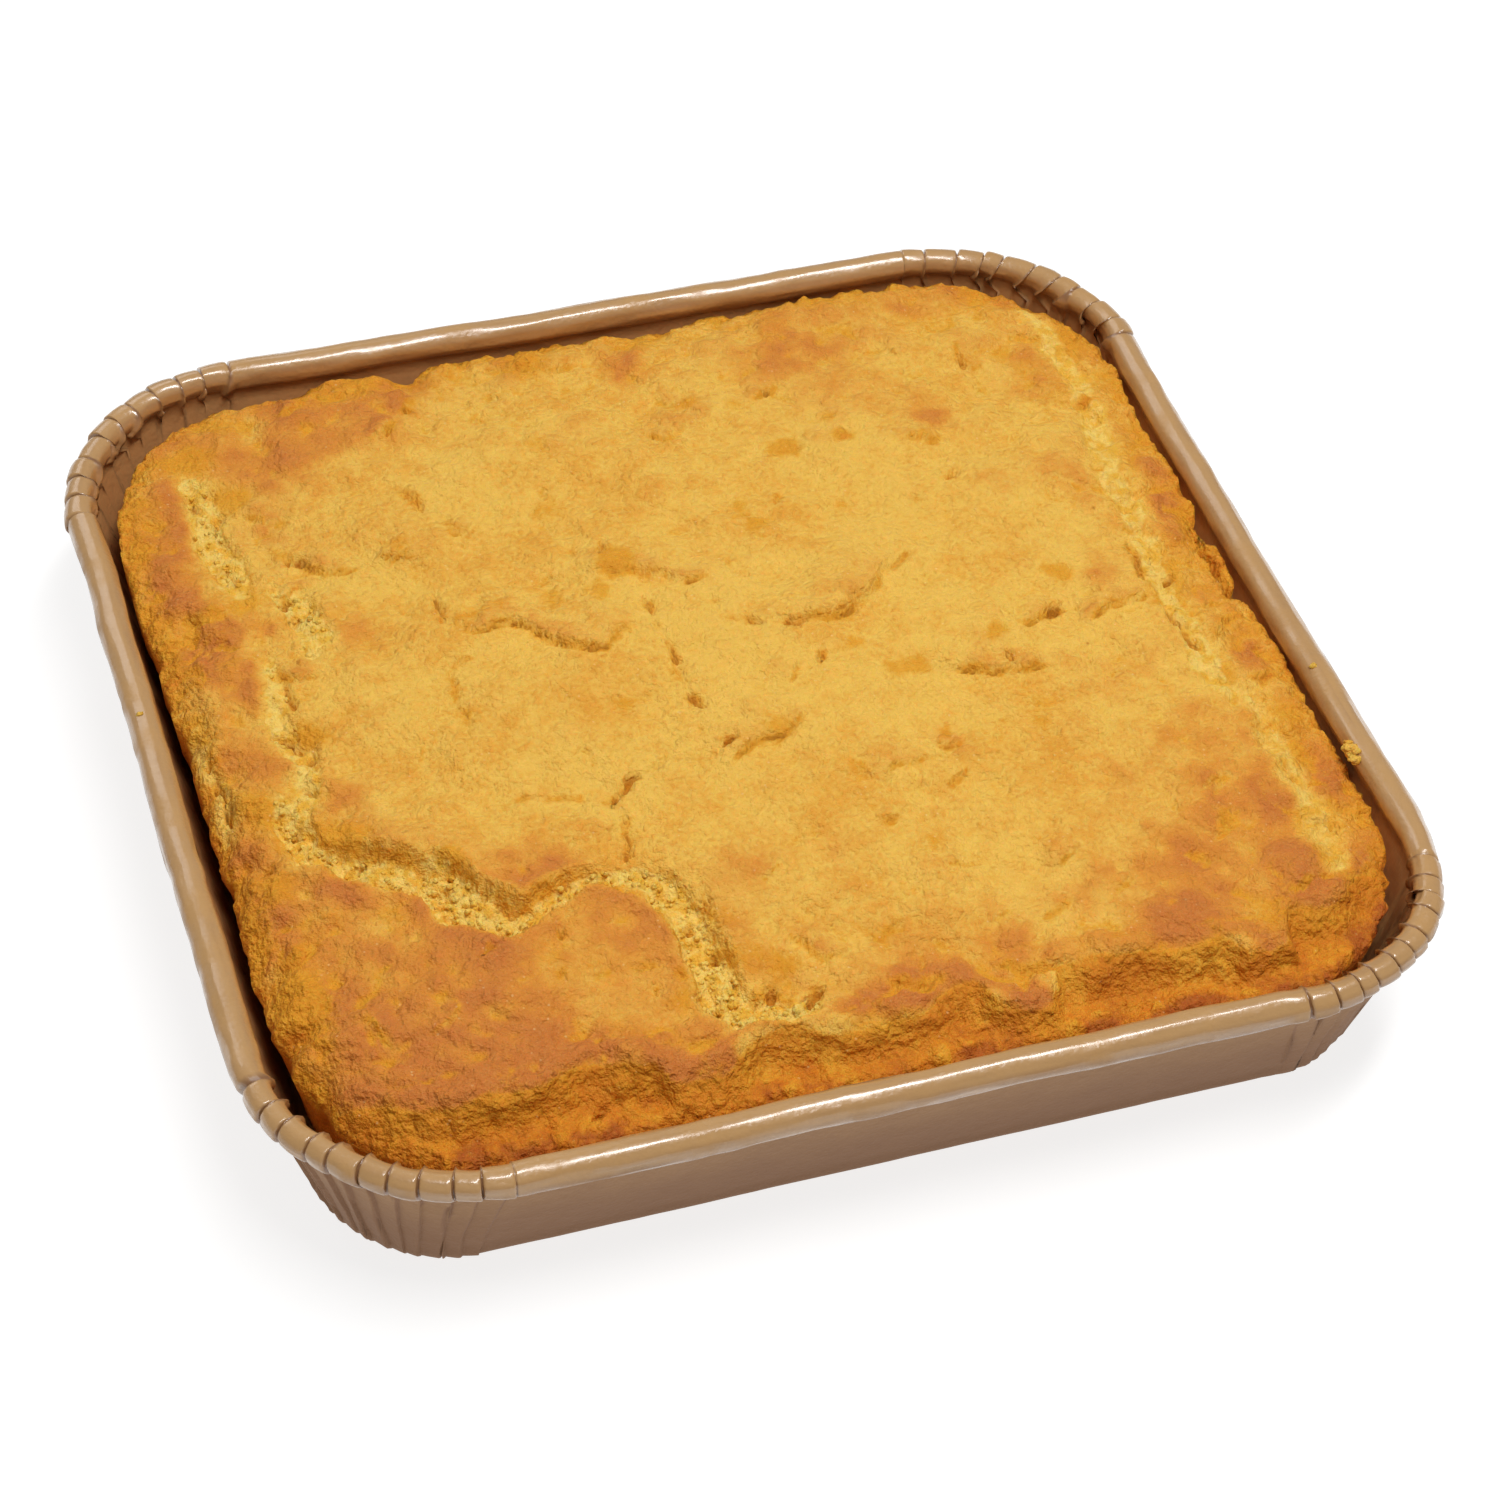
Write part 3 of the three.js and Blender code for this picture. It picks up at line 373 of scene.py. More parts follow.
# Small golden stains: x, y, radius, strength
GOLDEN = [
    (26, 50.5, 2.6, 0.8), (38, 52, 2.4, 0.9), (-11, 29, 3.5, 0.6), (29.5, -26, 2.2, 0.8),
    (27, -8, 2.5, 0.6), (31, -8.5, 2.5, 0.8), (46, -5, 2.6, 0.7), (22, -1, 2, 0.5), (62, 7, 2, 0.8),
    (-19.5, -5, 1.8, 0.6), (-18.5, 46, 3, 0.5), (-10, 38.5, 1.6, 0.4), (14, 38, 2, 0.7), (16, 32, 2.2, 0.8),
    (-17, 62, 3, 0.4), (14, 67.5, 1.8, 0.6), (21, 64, 1.8, 0.5), (36, 58, 1.8, 0.5), (80, 23, 2.4, 0.8),
    (79, 2, 3.4, 0.8), (79, -24, 3.4, 0.8), (79, -4, 3, 0.7), (48, -22, 3, 0.4), (46, -27, 1.8, 0.5),
    (-16, 24, 2.6, 0.6), (-24, 23, 3, 0.5), (-10, 29, 3, 0.7), (-40, 23, 3, 0.4), (-34, 23, 3, 0.4),
    (3, -16, 3, 0.5), (-75, 36, 3, 0.5), (-76, 76, 4, 0.5), (-72, 64, 4, 0.7), (-72, 2, 3.5, 0.7),
    (-82, -13, 4, 0.6), (-78, -22, 4, 0.7), (-72, -24, 5, 0.7), (-58, -33, 4, 0.6), (-84, -31, 4, 0.5),
    (-87, -54, 5, 0.6), (-78, -40, 3, 0.3), (-68, -42, 3, 0.3), (-46, -56, 2.6, 0.4), (-19, -56, 3, 0.4),
    (-17, -66, 4, 0.4), (-12, -68, 3, 0.5), (-16, -76, 4, 0.6), (-30, -71, 3, 0.4), (68, -27, 3, 0.2),
    (83, -60, 4, 0.6), (86, -36, 4, 0.5), (84, -45, 3, 0.6), (81, -68, 3, 0.5), (67, -78, 4, 0.4),
    (-42, 88, 4, 0.5), (-12, 86, 4, 0.5), (60, 80, 5, 0.3), (86, 66, 4, 0.4), (-66, 46, 3, 0.5),
    (-46, 43, 3, 0.5), (54, 20, 3, 0.3), (13, -30, 2.4, 0.5), (19, -49.5, 2, 0.5), (52, 48, 3, 0.5),
]

# Dark specks baked into the crust: x, y
SPECK_RADIUS = 0.447
SPECKS = [(74.3, 20.8), (64.8, -30), (-48.7, 56.6), (-58.5, -24.5), (5.5, 79), (60.3, -11.8), (-20, -3)]

# Crumbs lying on the rim: x, y, z, size
STRAY_CRUMBS = [
    (93.6, -48.4, 32.0, 1.4), (93.4, -50.4, 31.6, 1.0), (93.6, -46.9, 31.9, 0.8), (95.2, -28.5, 32.6, 0.7),
    (-98.0, 12.0, 32.9, 0.5),
]
STRAY_STEPS = 10
STRAY_STRETCH = (1.2, 1, 0.75)

# Crumbs in the torn beds: how many to the square metre, and their least and largest radius
CRUMBS_PER_SQUARE_METRE = 5e5
CRUMB_SIZES = (0.25, 0.6)
CRUMB_SEED = 5


# Colours

def paint(red, green, blue):
    """A screen colour of 0 to 255 as the linear colour that a material takes."""
    channels = []
    for value in (red, green, blue):
        share = value / 255
        channels.append(share / 12.92 if share <= 0.04045 else ((share + 0.055) / 1.055) ** 2.4)
    return (*channels, 1.0)


CRUST_LIGHT = paint(240, 192, 84)
CRUST_DEEP = paint(230, 162, 54)
TOAST_LIGHT = paint(224, 148, 52)
TOAST_DARK = paint(206, 125, 54)
# Golden stains, also painted into hollows as warm painted shade
GOLD_STAIN_AND_SHADE = paint(226, 156, 30)
BAKED_ORANGE = paint(216, 132, 30)
BAKED_BROWN = paint(174, 90, 30)
CRUMB_PALE = paint(243, 206, 104)
CRUMB_DEEP = paint(234, 178, 58)
# Painted shade in holes and hollows, also the colour of the baked specks
SHADE_AND_SPECK_BROWN = paint(184, 116, 18)
# Painted shade for crevices and painted highlight for crests, as multipliers of a colour
CREVICE_PAINTED_SHADE = (0.92, 0.74, 0.52, 1)
CREST_PAINTED_HIGHLIGHT = (1.08, 1.07, 1.16, 1)
# Painted glints
PAINTED_GLINT_PALE = paint(255, 226, 160)
PAPER_LIGHT = paint(188, 146, 94)
# Paper in painted shade
PAPER_IN_PAINTED_SHADE = paint(136, 95, 60)
PAPER_GREASED = paint(192, 138, 84)
FLOOR_PALE = paint(150, 150, 149)


# Small sums on whole arrays of places

def ease(value, low, high):
    """Smooth step from 0 at low to 1 at high."""
    share = np.clip((value - low) / (high - low), 0, 1)
    return share * share * (3 - 2 * share)


def mix(first, second, share):
    return first + (second - first) * share


def hump(value, width):
    """1 where the value is 0, and less on both sides of it."""
    return np.exp(-(value / width) ** 2)


def fading(distance, reach):
    """1 up to no distance, and less beyond it."""
    return np.exp(-np.maximum(0, distance) / reach)


def lattice(column, row, layer):
    """A random number from -1 to 1 for each cell of a lattice."""
    value = np.sin(column * 127.1 + row * 311.7 + (layer + SEED) * 74.7) * 43758.5453
    return 2 * (value - np.floor(value)) - 1


def hills(x, y, size, layer):
    """Smooth random hills between -1 and 1; each layer has a pattern of its own."""
    column = np.floor(x / size)
    row = np.floor(y / size)
    across = ease(x / size - column, 0, 1)
    along = ease(y / size - row, 0, 1)
    near = mix(lattice(column, row, layer), lattice(column + 1, row, layer), across)
    far = mix(lattice(column, row + 1, layer), lattice(column + 1, row + 1, layer), across)
    return mix(near, far, along)


def wander(x, y, swings):
    """Places pushed about by hills, as rows of reach, size and layer say."""
    rows, apart = swings
    moved_x, moved_y = x, y
    for reach, size, layer in rows:
        moved_x = moved_x + reach * hills(x, y, size, layer)
        moved_y = moved_y + reach * hills(x, y, size, layer + apart)
    return moved_x, moved_y


def cells(x, y, size, layer):
    """Distance in cells to the nearest of scattered points, and that point's own random number."""
    nearest = np.full(x.shape, 9.0)
    chance = np.zeros(x.shape)
    for step_x in (-1, 0, 1):
        for step_y in (-1, 0, 1):
            column = np.floor(x / size) + step_x
            row = np.floor(y / size) + step_y
            at_x = column + 0.5 + LUMP_SHIFT * lattice(column, row, layer)
            at_y = row + 0.5 + LUMP_SHIFT * lattice(column, row, layer + 31)
            distance = np.hypot(x / size - at_x, y / size - at_y)
            chance = np.where(distance < nearest, lattice(column, row, layer + 57), chance)
            nearest = np.minimum(nearest, distance)
    return nearest, chance


def round_lumps(x, y, size, layer):
    """Round lumps from 0 to about 1 high, one to a cell, and pits from 0 to 1 where they meet."""
    swings = [(0.27 * size, 0.9 * size, layer + 1)], 1
    nearest, chance = cells(*wander(x, y, swings), size, layer)
    return hump(nearest, LUMP_WIDTH) * (0.8 + 0.45 * chance), ease(nearest, 0.5, 0.75)


def smooth_route(route, spacing=1.0):
    """Rows along a smooth curve through a route's own rows, each with its share of the length."""
    rows = np.array([route[0], *route, route[-1]], float)
    places = []
    for index in range(1, len(rows) - 2):
        before, start, end, after = rows[index - 1:index + 3]
        steps = max(2, int(np.linalg.norm((end - start)[:2]) / spacing))
        for share in np.arange(steps) / steps:
            pull = 2 * start + (end - before) * share
            bend = (2 * before - 5 * start + 4 * end - after) * share ** 2
            twist = (3 * start - before - 3 * end + after) * share ** 3
            places.append((pull + bend + twist) / 2)
    places = np.array([*places, rows[-1]])
    lengths = np.concatenate([[0], np.cumsum(np.linalg.norm(np.diff(places[:, :2], axis=0), axis=1))])
    return places, lengths / lengths[-1]


class Way:
    """Where a route runs among places: distance to it, positive on its left, share along and width. Places
    further off than the reach are left out."""

    def __init__(self, route, x, y, reach):
        places, shares = smooth_route(route)
        self.distance = np.full(x.shape, -1e3)
        self.share = np.zeros(x.shape)
        self.width = np.zeros(x.shape)
        low = places[:, :2].min(axis=0) - reach
        high = places[:, :2].max(axis=0) + reach
        near = (x > low[0]) & (x < high[0]) & (y > low[1]) & (y < high[1])
        px = x[near]
        py = y[near]
        best = np.full(px.shape, 1e3)
        signed, along, width = -best, np.zeros(px.shape), np.zeros(px.shape)
        widths = places[:, 2] if places.shape[1] > 2 else np.zeros(len(places))
        for index in range(len(places) - 1):
            ax, ay = places[index, :2]
            bx, by = places[index + 1, :2]
            length = (bx - ax) ** 2 + (by - ay) ** 2
            part = np.clip(((px - ax) * (bx - ax) + (py - ay) * (by - ay)) / length, 0, 1)
            gap = np.hypot(px - ax - part * (bx - ax), py - ay - part * (by - ay))
            nearer = gap < best
            best = np.where(nearer, gap, best)
            left = (bx - ax) * (py - ay) - (by - ay) * (px - ax) > 0
            signed = np.where(nearer, np.where(left, gap, -gap), signed)
            along = np.where(nearer, mix(shares[index], shares[index + 1], part), along)
            width = np.where(nearer, mix(widths[index], widths[index + 1], part), width)
        self.distance[near] = signed
        self.share[near] = along
        self.width[near] = width

    def run_out(self, least):
        """Fades both ends of the route."""
        return np.minimum(1, 5 * self.share * (1 - self.share) + least)


def spot(x, y, spot_x, spot_y, radius):
    """1 in the middle of a round spot, and less away from it."""
    return np.exp(-((x - spot_x) ** 2 + (y - spot_y) ** 2) / (radius * radius))


def patches(spots, x, y):
    """How strongly each place lies in a list of round spots, from 0 to 1."""
    bare = np.ones(x.shape)
    for spot_x, spot_y, radius, strength in spots:
        bare = bare * (1 - strength * spot(x, y, spot_x, spot_y, radius))
    return 1 - bare


def soften(values, reach):
    """Values on a grid averaged over a square of cells, twice."""
    for _ in range(2):
        for axis in (0, 1):
            padded = np.concatenate([np.repeat(values.take([0], axis), reach + 1, axis), values,
                                     np.repeat(values.take([-1], axis), reach, axis)], axis)
            total = np.cumsum(padded, axis)
            size = values.shape[axis]
            high = total.take(range(2 * reach + 1, 2 * reach + 1 + size), axis)
            values = (high - total.take(range(size), axis)) / (2 * reach + 1)
    return values


# Outlines

def around(rows, column, x, y):
    """A column of rows that start with a direction in degrees, eased between them, for each place."""
    table = np.array(rows)
    direction = np.degrees(np.arctan2(y, x))
    index = np.clip(np.searchsorted(table[:, 0], direction), 1, len(table) - 1)
    low = table[index - 1]
    high = table[index]
    return mix(low[..., column], high[..., column],
               ease(direction - low[..., 0], 0, high[..., 0] - low[..., 0]))


def make_uneven(x, y, z):
    """Moves places on an outline in or out as the uneven rim does, less so lower down."""
    out = around(UNEVEN, 1, x, y) * z / TRAY_HEIGHT
    length = np.hypot(x, y)
    return x * (1 + out / length), y * (1 + out / length)


def corner_place(half, radius, corner, turn):
    """A place on a corner of a rounded square, turned 0 to 90 degrees round it."""
    angle = np.radians(90 * corner + turn)
    flip = np.radians(90 * corner + 45)
    x = np.sign(np.cos(flip)) * (half - radius) + radius * np.cos(angle)
    y = np.sign(np.sin(flip)) * (half - radius) + radius * np.sin(angle)
    return x, y


def outline_place(half, radius, corner, turn, share):
    """A place on a rounded square: on a corner, or a share of the way to the next one."""
    x, y = corner_place(half, radius, corner, turn)
    next_x, next_y = corner_place(half, radius, corner + 1, 0.0)
    return mix(x, next_x, share), mix(y, next_y, share)


# Meshes

def make_piece(name, points, faces, marks=None):
    """An object from points in millimetres, with a number for each point under each mark's name."""
    mesh = bpy.data.meshes.new(name)
    mesh.from_pydata((points * MM).tolist(), [], faces)
    for mark, values in (marks or {}).items():
        attribute = mesh.attributes.new(mark, "FLOAT", "POINT")
        attribute.data.foreach_set("value", np.asarray(values, np.float32))
    mesh.shade_smooth()
    mesh.validate()
    piece = bpy.data.objects.new(name, mesh)
    bpy.context.scene.collection.objects.link(piece)
    return piece


def ring_faces(rings, count):
    """Faces between rings of points that follow each other, each of count points."""
    faces = []
    for ring in range(rings - 1):
        for step in range(count):
            a = ring * count + step
            b = ring * count + (step + 1) % count
            faces.append((a, b, b + count, a + count))
    return faces


# Bread

def torn_beds(x, y):
    """Depth of the beds of open crumb at each place, how far inside a bed it is and how near to one."""
    depth, inside, near = np.zeros((3, *x.shape))
    moved_x, moved_y = wander(x, y, BED_SWINGS)
    for number, (route, bed_depth, openness) in enumerate(BEDS):
        way = Way(route, moved_x, moved_y, BED_REACH)
        half = way.width / 2 * (1 + 0.25 * hills(x, y, 3.4, 24 + number))
        within = ease(half - np.abs(way.distance), -0.7, 0.7) * openness
        depth = np.maximum(depth, bed_depth * within * way.run_out(0.3))
        inside = np.maximum(inside, within)
        near = np.maximum(near, hump(np.maximum(0, np.abs(way.distance) - half), 1.6))
    return depth, inside, near


def crust_steps(x, y):
    """Height of the crust's steps at each place, and masks of their faces, brown faces, feet and brows."""
    height, face, brown, foot, brow = np.zeros((5, *x.shape))
    moved_x, moved_y = wander(x, y, LEDGE_SWINGS)
    for number, (route, rise, width, brownness) in enumerate(LEDGES):
        way = Way(route, moved_x, moved_y, LEDGE_REACH)
        fade = way.run_out(0.1)
        broad = width * (0.45 + 0.3 * hills(x, y, 4, 34 + number))
        up = ease(way.distance, -0.3, broad + 0.1)
        height = height + fade * rise * up * fading(way.distance - broad, 5)
        on_face = ease(way.distance, -0.7, 0.2) * np.exp(-(np.maximum(0, way.distance) / broad) ** 1.6)
        face = np.maximum(face, fade * on_face)
        brown = np.maximum(brown, fade * on_face * brownness)
        line = hump(way.distance + 0.1, 0.6) * (0.45 + 0.7 * hills(x, y, 2.4, 35 + number))
        foot = np.maximum(foot, fade * line * min(1.2, rise))
        above = fading(way.distance - broad, 4.5) * ease(way.distance, 0, 1)
        brow = np.maximum(brow, fade * above * min(1, rise))
    return height, face, brown, foot, brow


def slits(x, y):
    """Depth of the slits and holes at each place, how far inside one it is and how near to one."""
    depth, inside, near = np.zeros((3, *x.shape))
    moved_x, moved_y = wander(x, y, SLIT_SWINGS)
    for route, width, slit_depth in SLITS:
        way = Way(route, moved_x, moved_y, SLIT_REACH)
        broad = 0.36 * width * way.run_out(0.25) * (1 + 0.8 * hills(x, y, 1.8, 39))
        within = ease(broad - np.abs(way.distance), -0.4, 0.3)
        depth = np.maximum(depth, slit_depth * within)
        inside = np.maximum(inside, within * min(1, slit_depth / 1.8))
        beside = hump(way.distance, 0.5 + 0.9 * width) * way.run_out(0.2)
        near = np.maximum(near, beside * (0.6 + 0.6 * hills(x, y, 2.2, 40)))
    return depth, inside, near


def crust_creases(x, y):
    """How deep in a crease each place is: creases wander over the whole crust where it shrank."""
    crease = np.zeros(x.shape)
    for layer, (size, shift) in enumerate(CREASES):
        swirl = hills(x + shift * hills(x, y, size * 0.6, 120 + layer), y, size, 123 + layer)
        here = ease(hills(x, y, size * 1.7, 126 + layer), -0.1, 0.6)
        crease = np.maximum(crease, hump(swirl * size, CREASE_WIDTH) * here)
    return crease


def domed_top(x, y, edge, edge_height):
    """Height of the top with its dome, lumps and knobs, before it cracks."""
    radial = np.minimum(1, (x * x + y * y) / (BREAD_HALF * BREAD_HALF))
    height = edge_height + (SHOULDER_HEIGHT - edge_height) * edge + DOME * (1 - radial) * edge
    for layer, (size, rise) in enumerate(LUMPS):
        height = height + rise * hills(x, y, size, layer) * edge
    for knob_x, knob_y, radius, rise in KNOBS:
        height = height + rise * spot(x, y, knob_x, knob_y, radius / math.sqrt(KNOB_FALL)) * edge
    return height


def bread_top(x, y, inward, edge_height):
    """Height of the bread's top at each place, how far its crags stand out, and the marks that colour it."""
    edge = 1 - fading(inward, SHOULDER_REACH)
    height = domed_top(x, y, edge, edge_height)
    x = x + LEAN[0] * (height - PLANE_HEIGHT) * edge
    y = y + LEAN[1] * (height - PLANE_HEIGHT) * edge

    # The front of the crust breaks off above a shelf of rubble
    cliff_y = np.interp(x, [place for place, _ in CLIFF], [y_top for _, y_top in CLIFF])
    past = cliff_y - y + 1.5 * hills(x, y, 7, 50) + 0.3 * hills(x, y, 3, 51)
    fallen = ease(past, -0.4, CLIFF_WIDTH)
    rubble = np.minimum(height, RUBBLE_HEIGHT + 0.7 * hills(x, y, 7, 52))
    height = mix(height + 0.9 * hump(past + 3.2, 2.6), rubble, fallen)
    scarp = ease(past, -1.6, 0.2) * (1 - ease(past, CLIFF_WIDTH + 0.6, CLIFF_WIDTH + 3.4))

    bed_depth, bed, lip = torn_beds(x, y)
    step_height, face, brown, foot, brow = crust_steps(x, y)
    slit_depth, slit, beside = slits(x, y)
    height = height + step_height * np.maximum(0, 1 - bed * 0.6) - bed_depth * np.maximum(edge, 0.3)

    # Crumbly crags: strongest on the scarp and the rubble, some along the other edges
    crags = np.clip(np.maximum(scarp * 0.8, fallen) + 0.7 * fading(inward, 4.5) + 0.6 * face, 0, 1)
    crag = CRAG_HEIGHT * (round_lumps(x, y, CRAG_SIZE, 60)[0] - LUMP_MEAN)
    pebble, pit = round_lumps(x, y, PEBBLE_SIZE, 63)
    pebble = PEBBLE_HEIGHT * (pebble - LUMP_MEAN)
    steep = np.maximum(scarp, face * ease(step_height, 0.5, 1.5))
    level = 1 - 0.75 * steep
    height = height + crags * (1 - 0.6 * steep) * (crag + pebble) + 0.8 * np.maximum(face, beside) * pebble
    craggy = (crag + 0.4 * pebble) * (0.8 * steep + 0.4 * fading(inward, 3) * ease(inward, 0, 1))

    toasted = patches(TOASTED, *wander(x, y, TOAST_SWINGS))
    crease = crust_creases(x, y)
    rough = 0.5 + 0.55 * fading(inward - 6, WARM_REACH) + 0.25 * np.maximum(toasted, brow)
    height = height - CREASE_DEPTH * crease * rough * level

    # Open crumb is a mass of small grains with pores between them
    nodule, pore = round_lumps(x, y, NODULE_SIZE, 67)
    open_crumb = NODULE_HEIGHT * (nodule - LUMP_MEAN) + 0.5 * pebble - PORE_DEPTH * pore
    height = height + bed * open_crumb * level

    grains = np.zeros(x.shape)
    for layer, (size, rise) in enumerate(FINE_LUMPS):
        grains = grains + rise * rough * hills(x, y, size, 10 + layer)
    height = height + grains * level
    craggy = craggy + 0.3 * grains * steep
    height = height - slit_depth - 0.5 * foot

    # Ridges, edges and brows toast
    hollow = soften(height, SMALL_HOLLOW) - height
    broad_hollow = soften(height, BROAD_HOLLOW) - height
    low = np.clip(ease(hollow, 0.1, 0.7) + 0.15 * crease * rough, 0, 1) * level
    warm = fading(inward, WARM_REACH)
    toast = 0.8 * toasted * (1 + 0.35 * hills(x, y, 3.4, 102)) + 0.2 * warm
    toast = toast + 0.22 * hump(past + 4, 3) + 0.12 * ease(-broad_hollow, 0.1, 0.9)
    toast = toast + 0.4 * brow * (0.6 + 0.6 * hills(x, y, 3.2, 113)) - 0.25 * low
    toast = toast * (1 - bed) * (1 - 0.6 * lip) * (1 - 0.7 * face)

    # What faces a step or lies beside a crack turns golden, and hollows are painted golden as warm painted
    # shade
    gold = 1.3 * patches(GOLDEN, *wander(x, y, GOLD_SWINGS))
    gold = np.maximum(gold, face * (0.6 + 0.5 * hills(x, y, 2.4, 107) + 0.3 * pit))
    gold = np.maximum(gold, np.maximum(0.8 * beside, 1.2 * foot))
    gold = np.maximum(gold, low * (0.4 + 0.2 * toasted)) + 0.5 * fading(inward, 4) + 0.2 * crease
    gold = np.maximum(gold, 0.75 * np.maximum(fallen, scarp))
    gold = gold + warm * (0.3 + 0.35 * hills(x, y, 5, 112))

    # The scarp, the rubble and the sides of steps bake orange to brown
    granular = -0.4 * (crag + pebble) * level + 0.25 * hills(x, y, 3.6, 106)
    deep = np.maximum(scarp * (0.36 + 0.25 * hills(x, y, 6, 105)), 0.45 * brown + 0.1 * face)
    deep = np.maximum(deep, np.maximum(fallen * (0.44 + granular), 0.3 * beside))
    deep = deep + 0.6 * fading(inward, 3.4) * (0.5 + granular)
    deep = deep * (1 - 0.85 * bed * (1 - np.maximum(0.8 * scarp, face)))

    # Painted shade darkens holes, feet of steps, pores, pits and hollows; the specks are real, baked dark
    shade_and_specks = 0.7 * np.maximum(slit, ease(foot, 0.4, 1.0)) + bed * pore * 0.2
    shade_and_specks = shade_and_specks + 0.35 * pit * np.maximum(0.8 * face, beside)
    shade_and_specks = shade_and_specks + 0.35 * ease(hollow, 0.8, 1.6) * (1 - lip) * level
    for speck_x, speck_y in SPECKS:
        shade_and_specks = shade_and_specks + spot(x, y, speck_x, speck_y, SPECK_RADIUS)
    crumb = bed * (1 - 0.75 * np.maximum(scarp, face)) * (1 - 0.4 * fallen)
    marks = {"crumb": crumb, "toast": toast, "gold": gold, "deep": deep, "shade_and_specks": shade_and_specks}
    return height, craggy, {name: np.clip(values, 0, 1) for name, values in marks.items()}


def bread_edge(u, v, half):
    """Places on the bread's edge for places on the edge of a square from -1 to 1."""
    side = np.where(np.abs(u) > np.abs(v), np.where(u > 0, 0, 2), np.where(v > 0, 1, 3))
    along = np.choose(side, [v, -u, -v, u])
    corners = np.array(BREAD_CORNERS) + half - BREAD_HALF
    before = corners[(side + 3) % 4]
    after = corners[side]
    first = before * math.pi / 4
    middle = 2 * half - before - after
    last = after * math.pi / 4
    run = (along + 1) / 2 * (first + middle + last)
    start_x, start_y = corner_place(half, before, side + 3, 45 + 45 * np.clip(run / first, 0, 1))
    end_x, end_y = corner_place(half, after, side, 45 * np.clip((run - first - middle) / last, 0, 1))
    share = np.clip((run - first) / middle, 0, 1)
    return mix(start_x, end_x, share), mix(start_y, end_y, share)


def side_half(z):
    """Half width of the bread's side at a height, a small gap inside the tray's wall."""
    foot_half = BASE_HALF - PAPER
    turn = math.radians(WALL_INSIDE_AT_ROLL)
    head_half = TRAY_HALF - ROLL_RADIUS * (1 - math.cos(turn))
    head_z = TRAY_HEIGHT - ROLL_RADIUS * (1 - math.sin(turn))
    if z >= HEEL_RADIUS:
        return mix(foot_half, head_half, (z - HEEL_RADIUS) / (head_z - HEEL_RADIUS)) - BREAD_GAP
    radius = HEEL_RADIUS - PAPER
    drop = HEEL_RADIUS - z
    return foot_half - radius + math.sqrt(max(0, radius * radius - drop * drop)) - BREAD_GAP


def side_place(u, v, z):
    """Places on the bread's side at a height: it leans in towards the floor as the wall does."""
    x, y = bread_edge(u, v, BREAD_HALF + side_half(z) - side_half(EDGE_HEIGHT))
    lean = z / EDGE_HEIGHT
    x, y = make_uneven(x + BREAD_MIDDLE[0] * lean, y + BREAD_MIDDLE[1] * lean, z)
    broken = 0.45 + 0.45 * hills(x + y, x - y, 4.5, 110) + 0.3 * hills(x + y, x - y + z, 1.8, 111)
    for notch_x, notch_y, radius, depth in NOTCHES:
        broken = broken + depth * spot(x, y, notch_x, notch_y, radius)
    length = np.hypot(x, y)
    inset = (broken - around(EDGES, 2, x, y)) * min(1, z / 18) / length
    return x * (1 - inset), y * (1 - inset)


def make_bread():
    """The whole bread: a fine grid over its top, drawn in to its outline, then its side and base."""
    steps = np.linspace(-1, 1, GRID + 1)
    u, v = np.meshgrid(steps, steps + CLOSER * (steps ** 2 - 1))
    reach = np.maximum(np.abs(u), np.abs(v))
    safe = np.maximum(reach, 1e-6)
    edge_x, edge_y = side_place(u / safe, v / safe, EDGE_HEIGHT)
    x = mix(u * BREAD_HALF, edge_x * reach, reach * reach)
    y = mix(v * BREAD_HALF, edge_y * reach, reach * reach)
    edge_height = around(EDGES, 1, edge_x, edge_y)
    height, craggy, marks = bread_top(x, y, (1 - reach) * BREAD_HALF, edge_height)
    length = np.hypot(x, y)
    x = x + craggy * x / (length + 1) * reach ** 4
    y = y + craggy * mix(-1, y / (length + 1), reach ** 4)
    rim = reach > 1 - 1e-9
    height[rim] = np.clip(height[rim], edge_height[rim] - 1.0, edge_height[rim] + 1.0)

    number = np.arange((GRID + 1) ** 2).reshape(GRID + 1, GRID + 1)
    quads = np.stack([number[:-1, :-1], number[:-1, 1:], number[1:, 1:], number[1:, :-1]], -1)
    faces = [tuple(quad) for quad in quads.reshape(-1, 4).tolist()]
    border = np.concatenate([number[0, :-1], number[:-1, -1], number[-1, :0:-1], number[:0:-1, 0]])
    points = [np.stack([x, y, height], -1).reshape(-1, 3)]
    border_u = u.reshape(-1)[border]
    border_v = v.reshape(-1)[border]
    floor = PAPER + BREAD_GAP
    total = number.size
    upper = border
    for z in (*SIDE_HEIGHTS, floor):
        ring_x, ring_y = side_place(border_u, border_v, z)
        lower = np.arange(total, total + len(border))
        band = np.stack([upper, lower, np.roll(lower, -1), np.roll(upper, -1)], -1)
        faces += [tuple(face) for face in band.tolist()]
        points.append(np.stack([ring_x, ring_y, np.full(ring_x.shape, z)], -1))
        total += len(border)
        upper = lower
    points.append(np.array([[0, 0, floor]]))
    faces += [(int(a), total, int(b)) for a, b in zip(upper, np.roll(upper, -1))]
    points = np.concatenate(points)
    below = len(points) - number.size
    marks = {name: np.concatenate([values.reshape(-1), np.full(below, SIDE_MARKS[name])])
             for name, values in marks.items()}
    return make_piece("bread", points, faces, marks)


# Tray

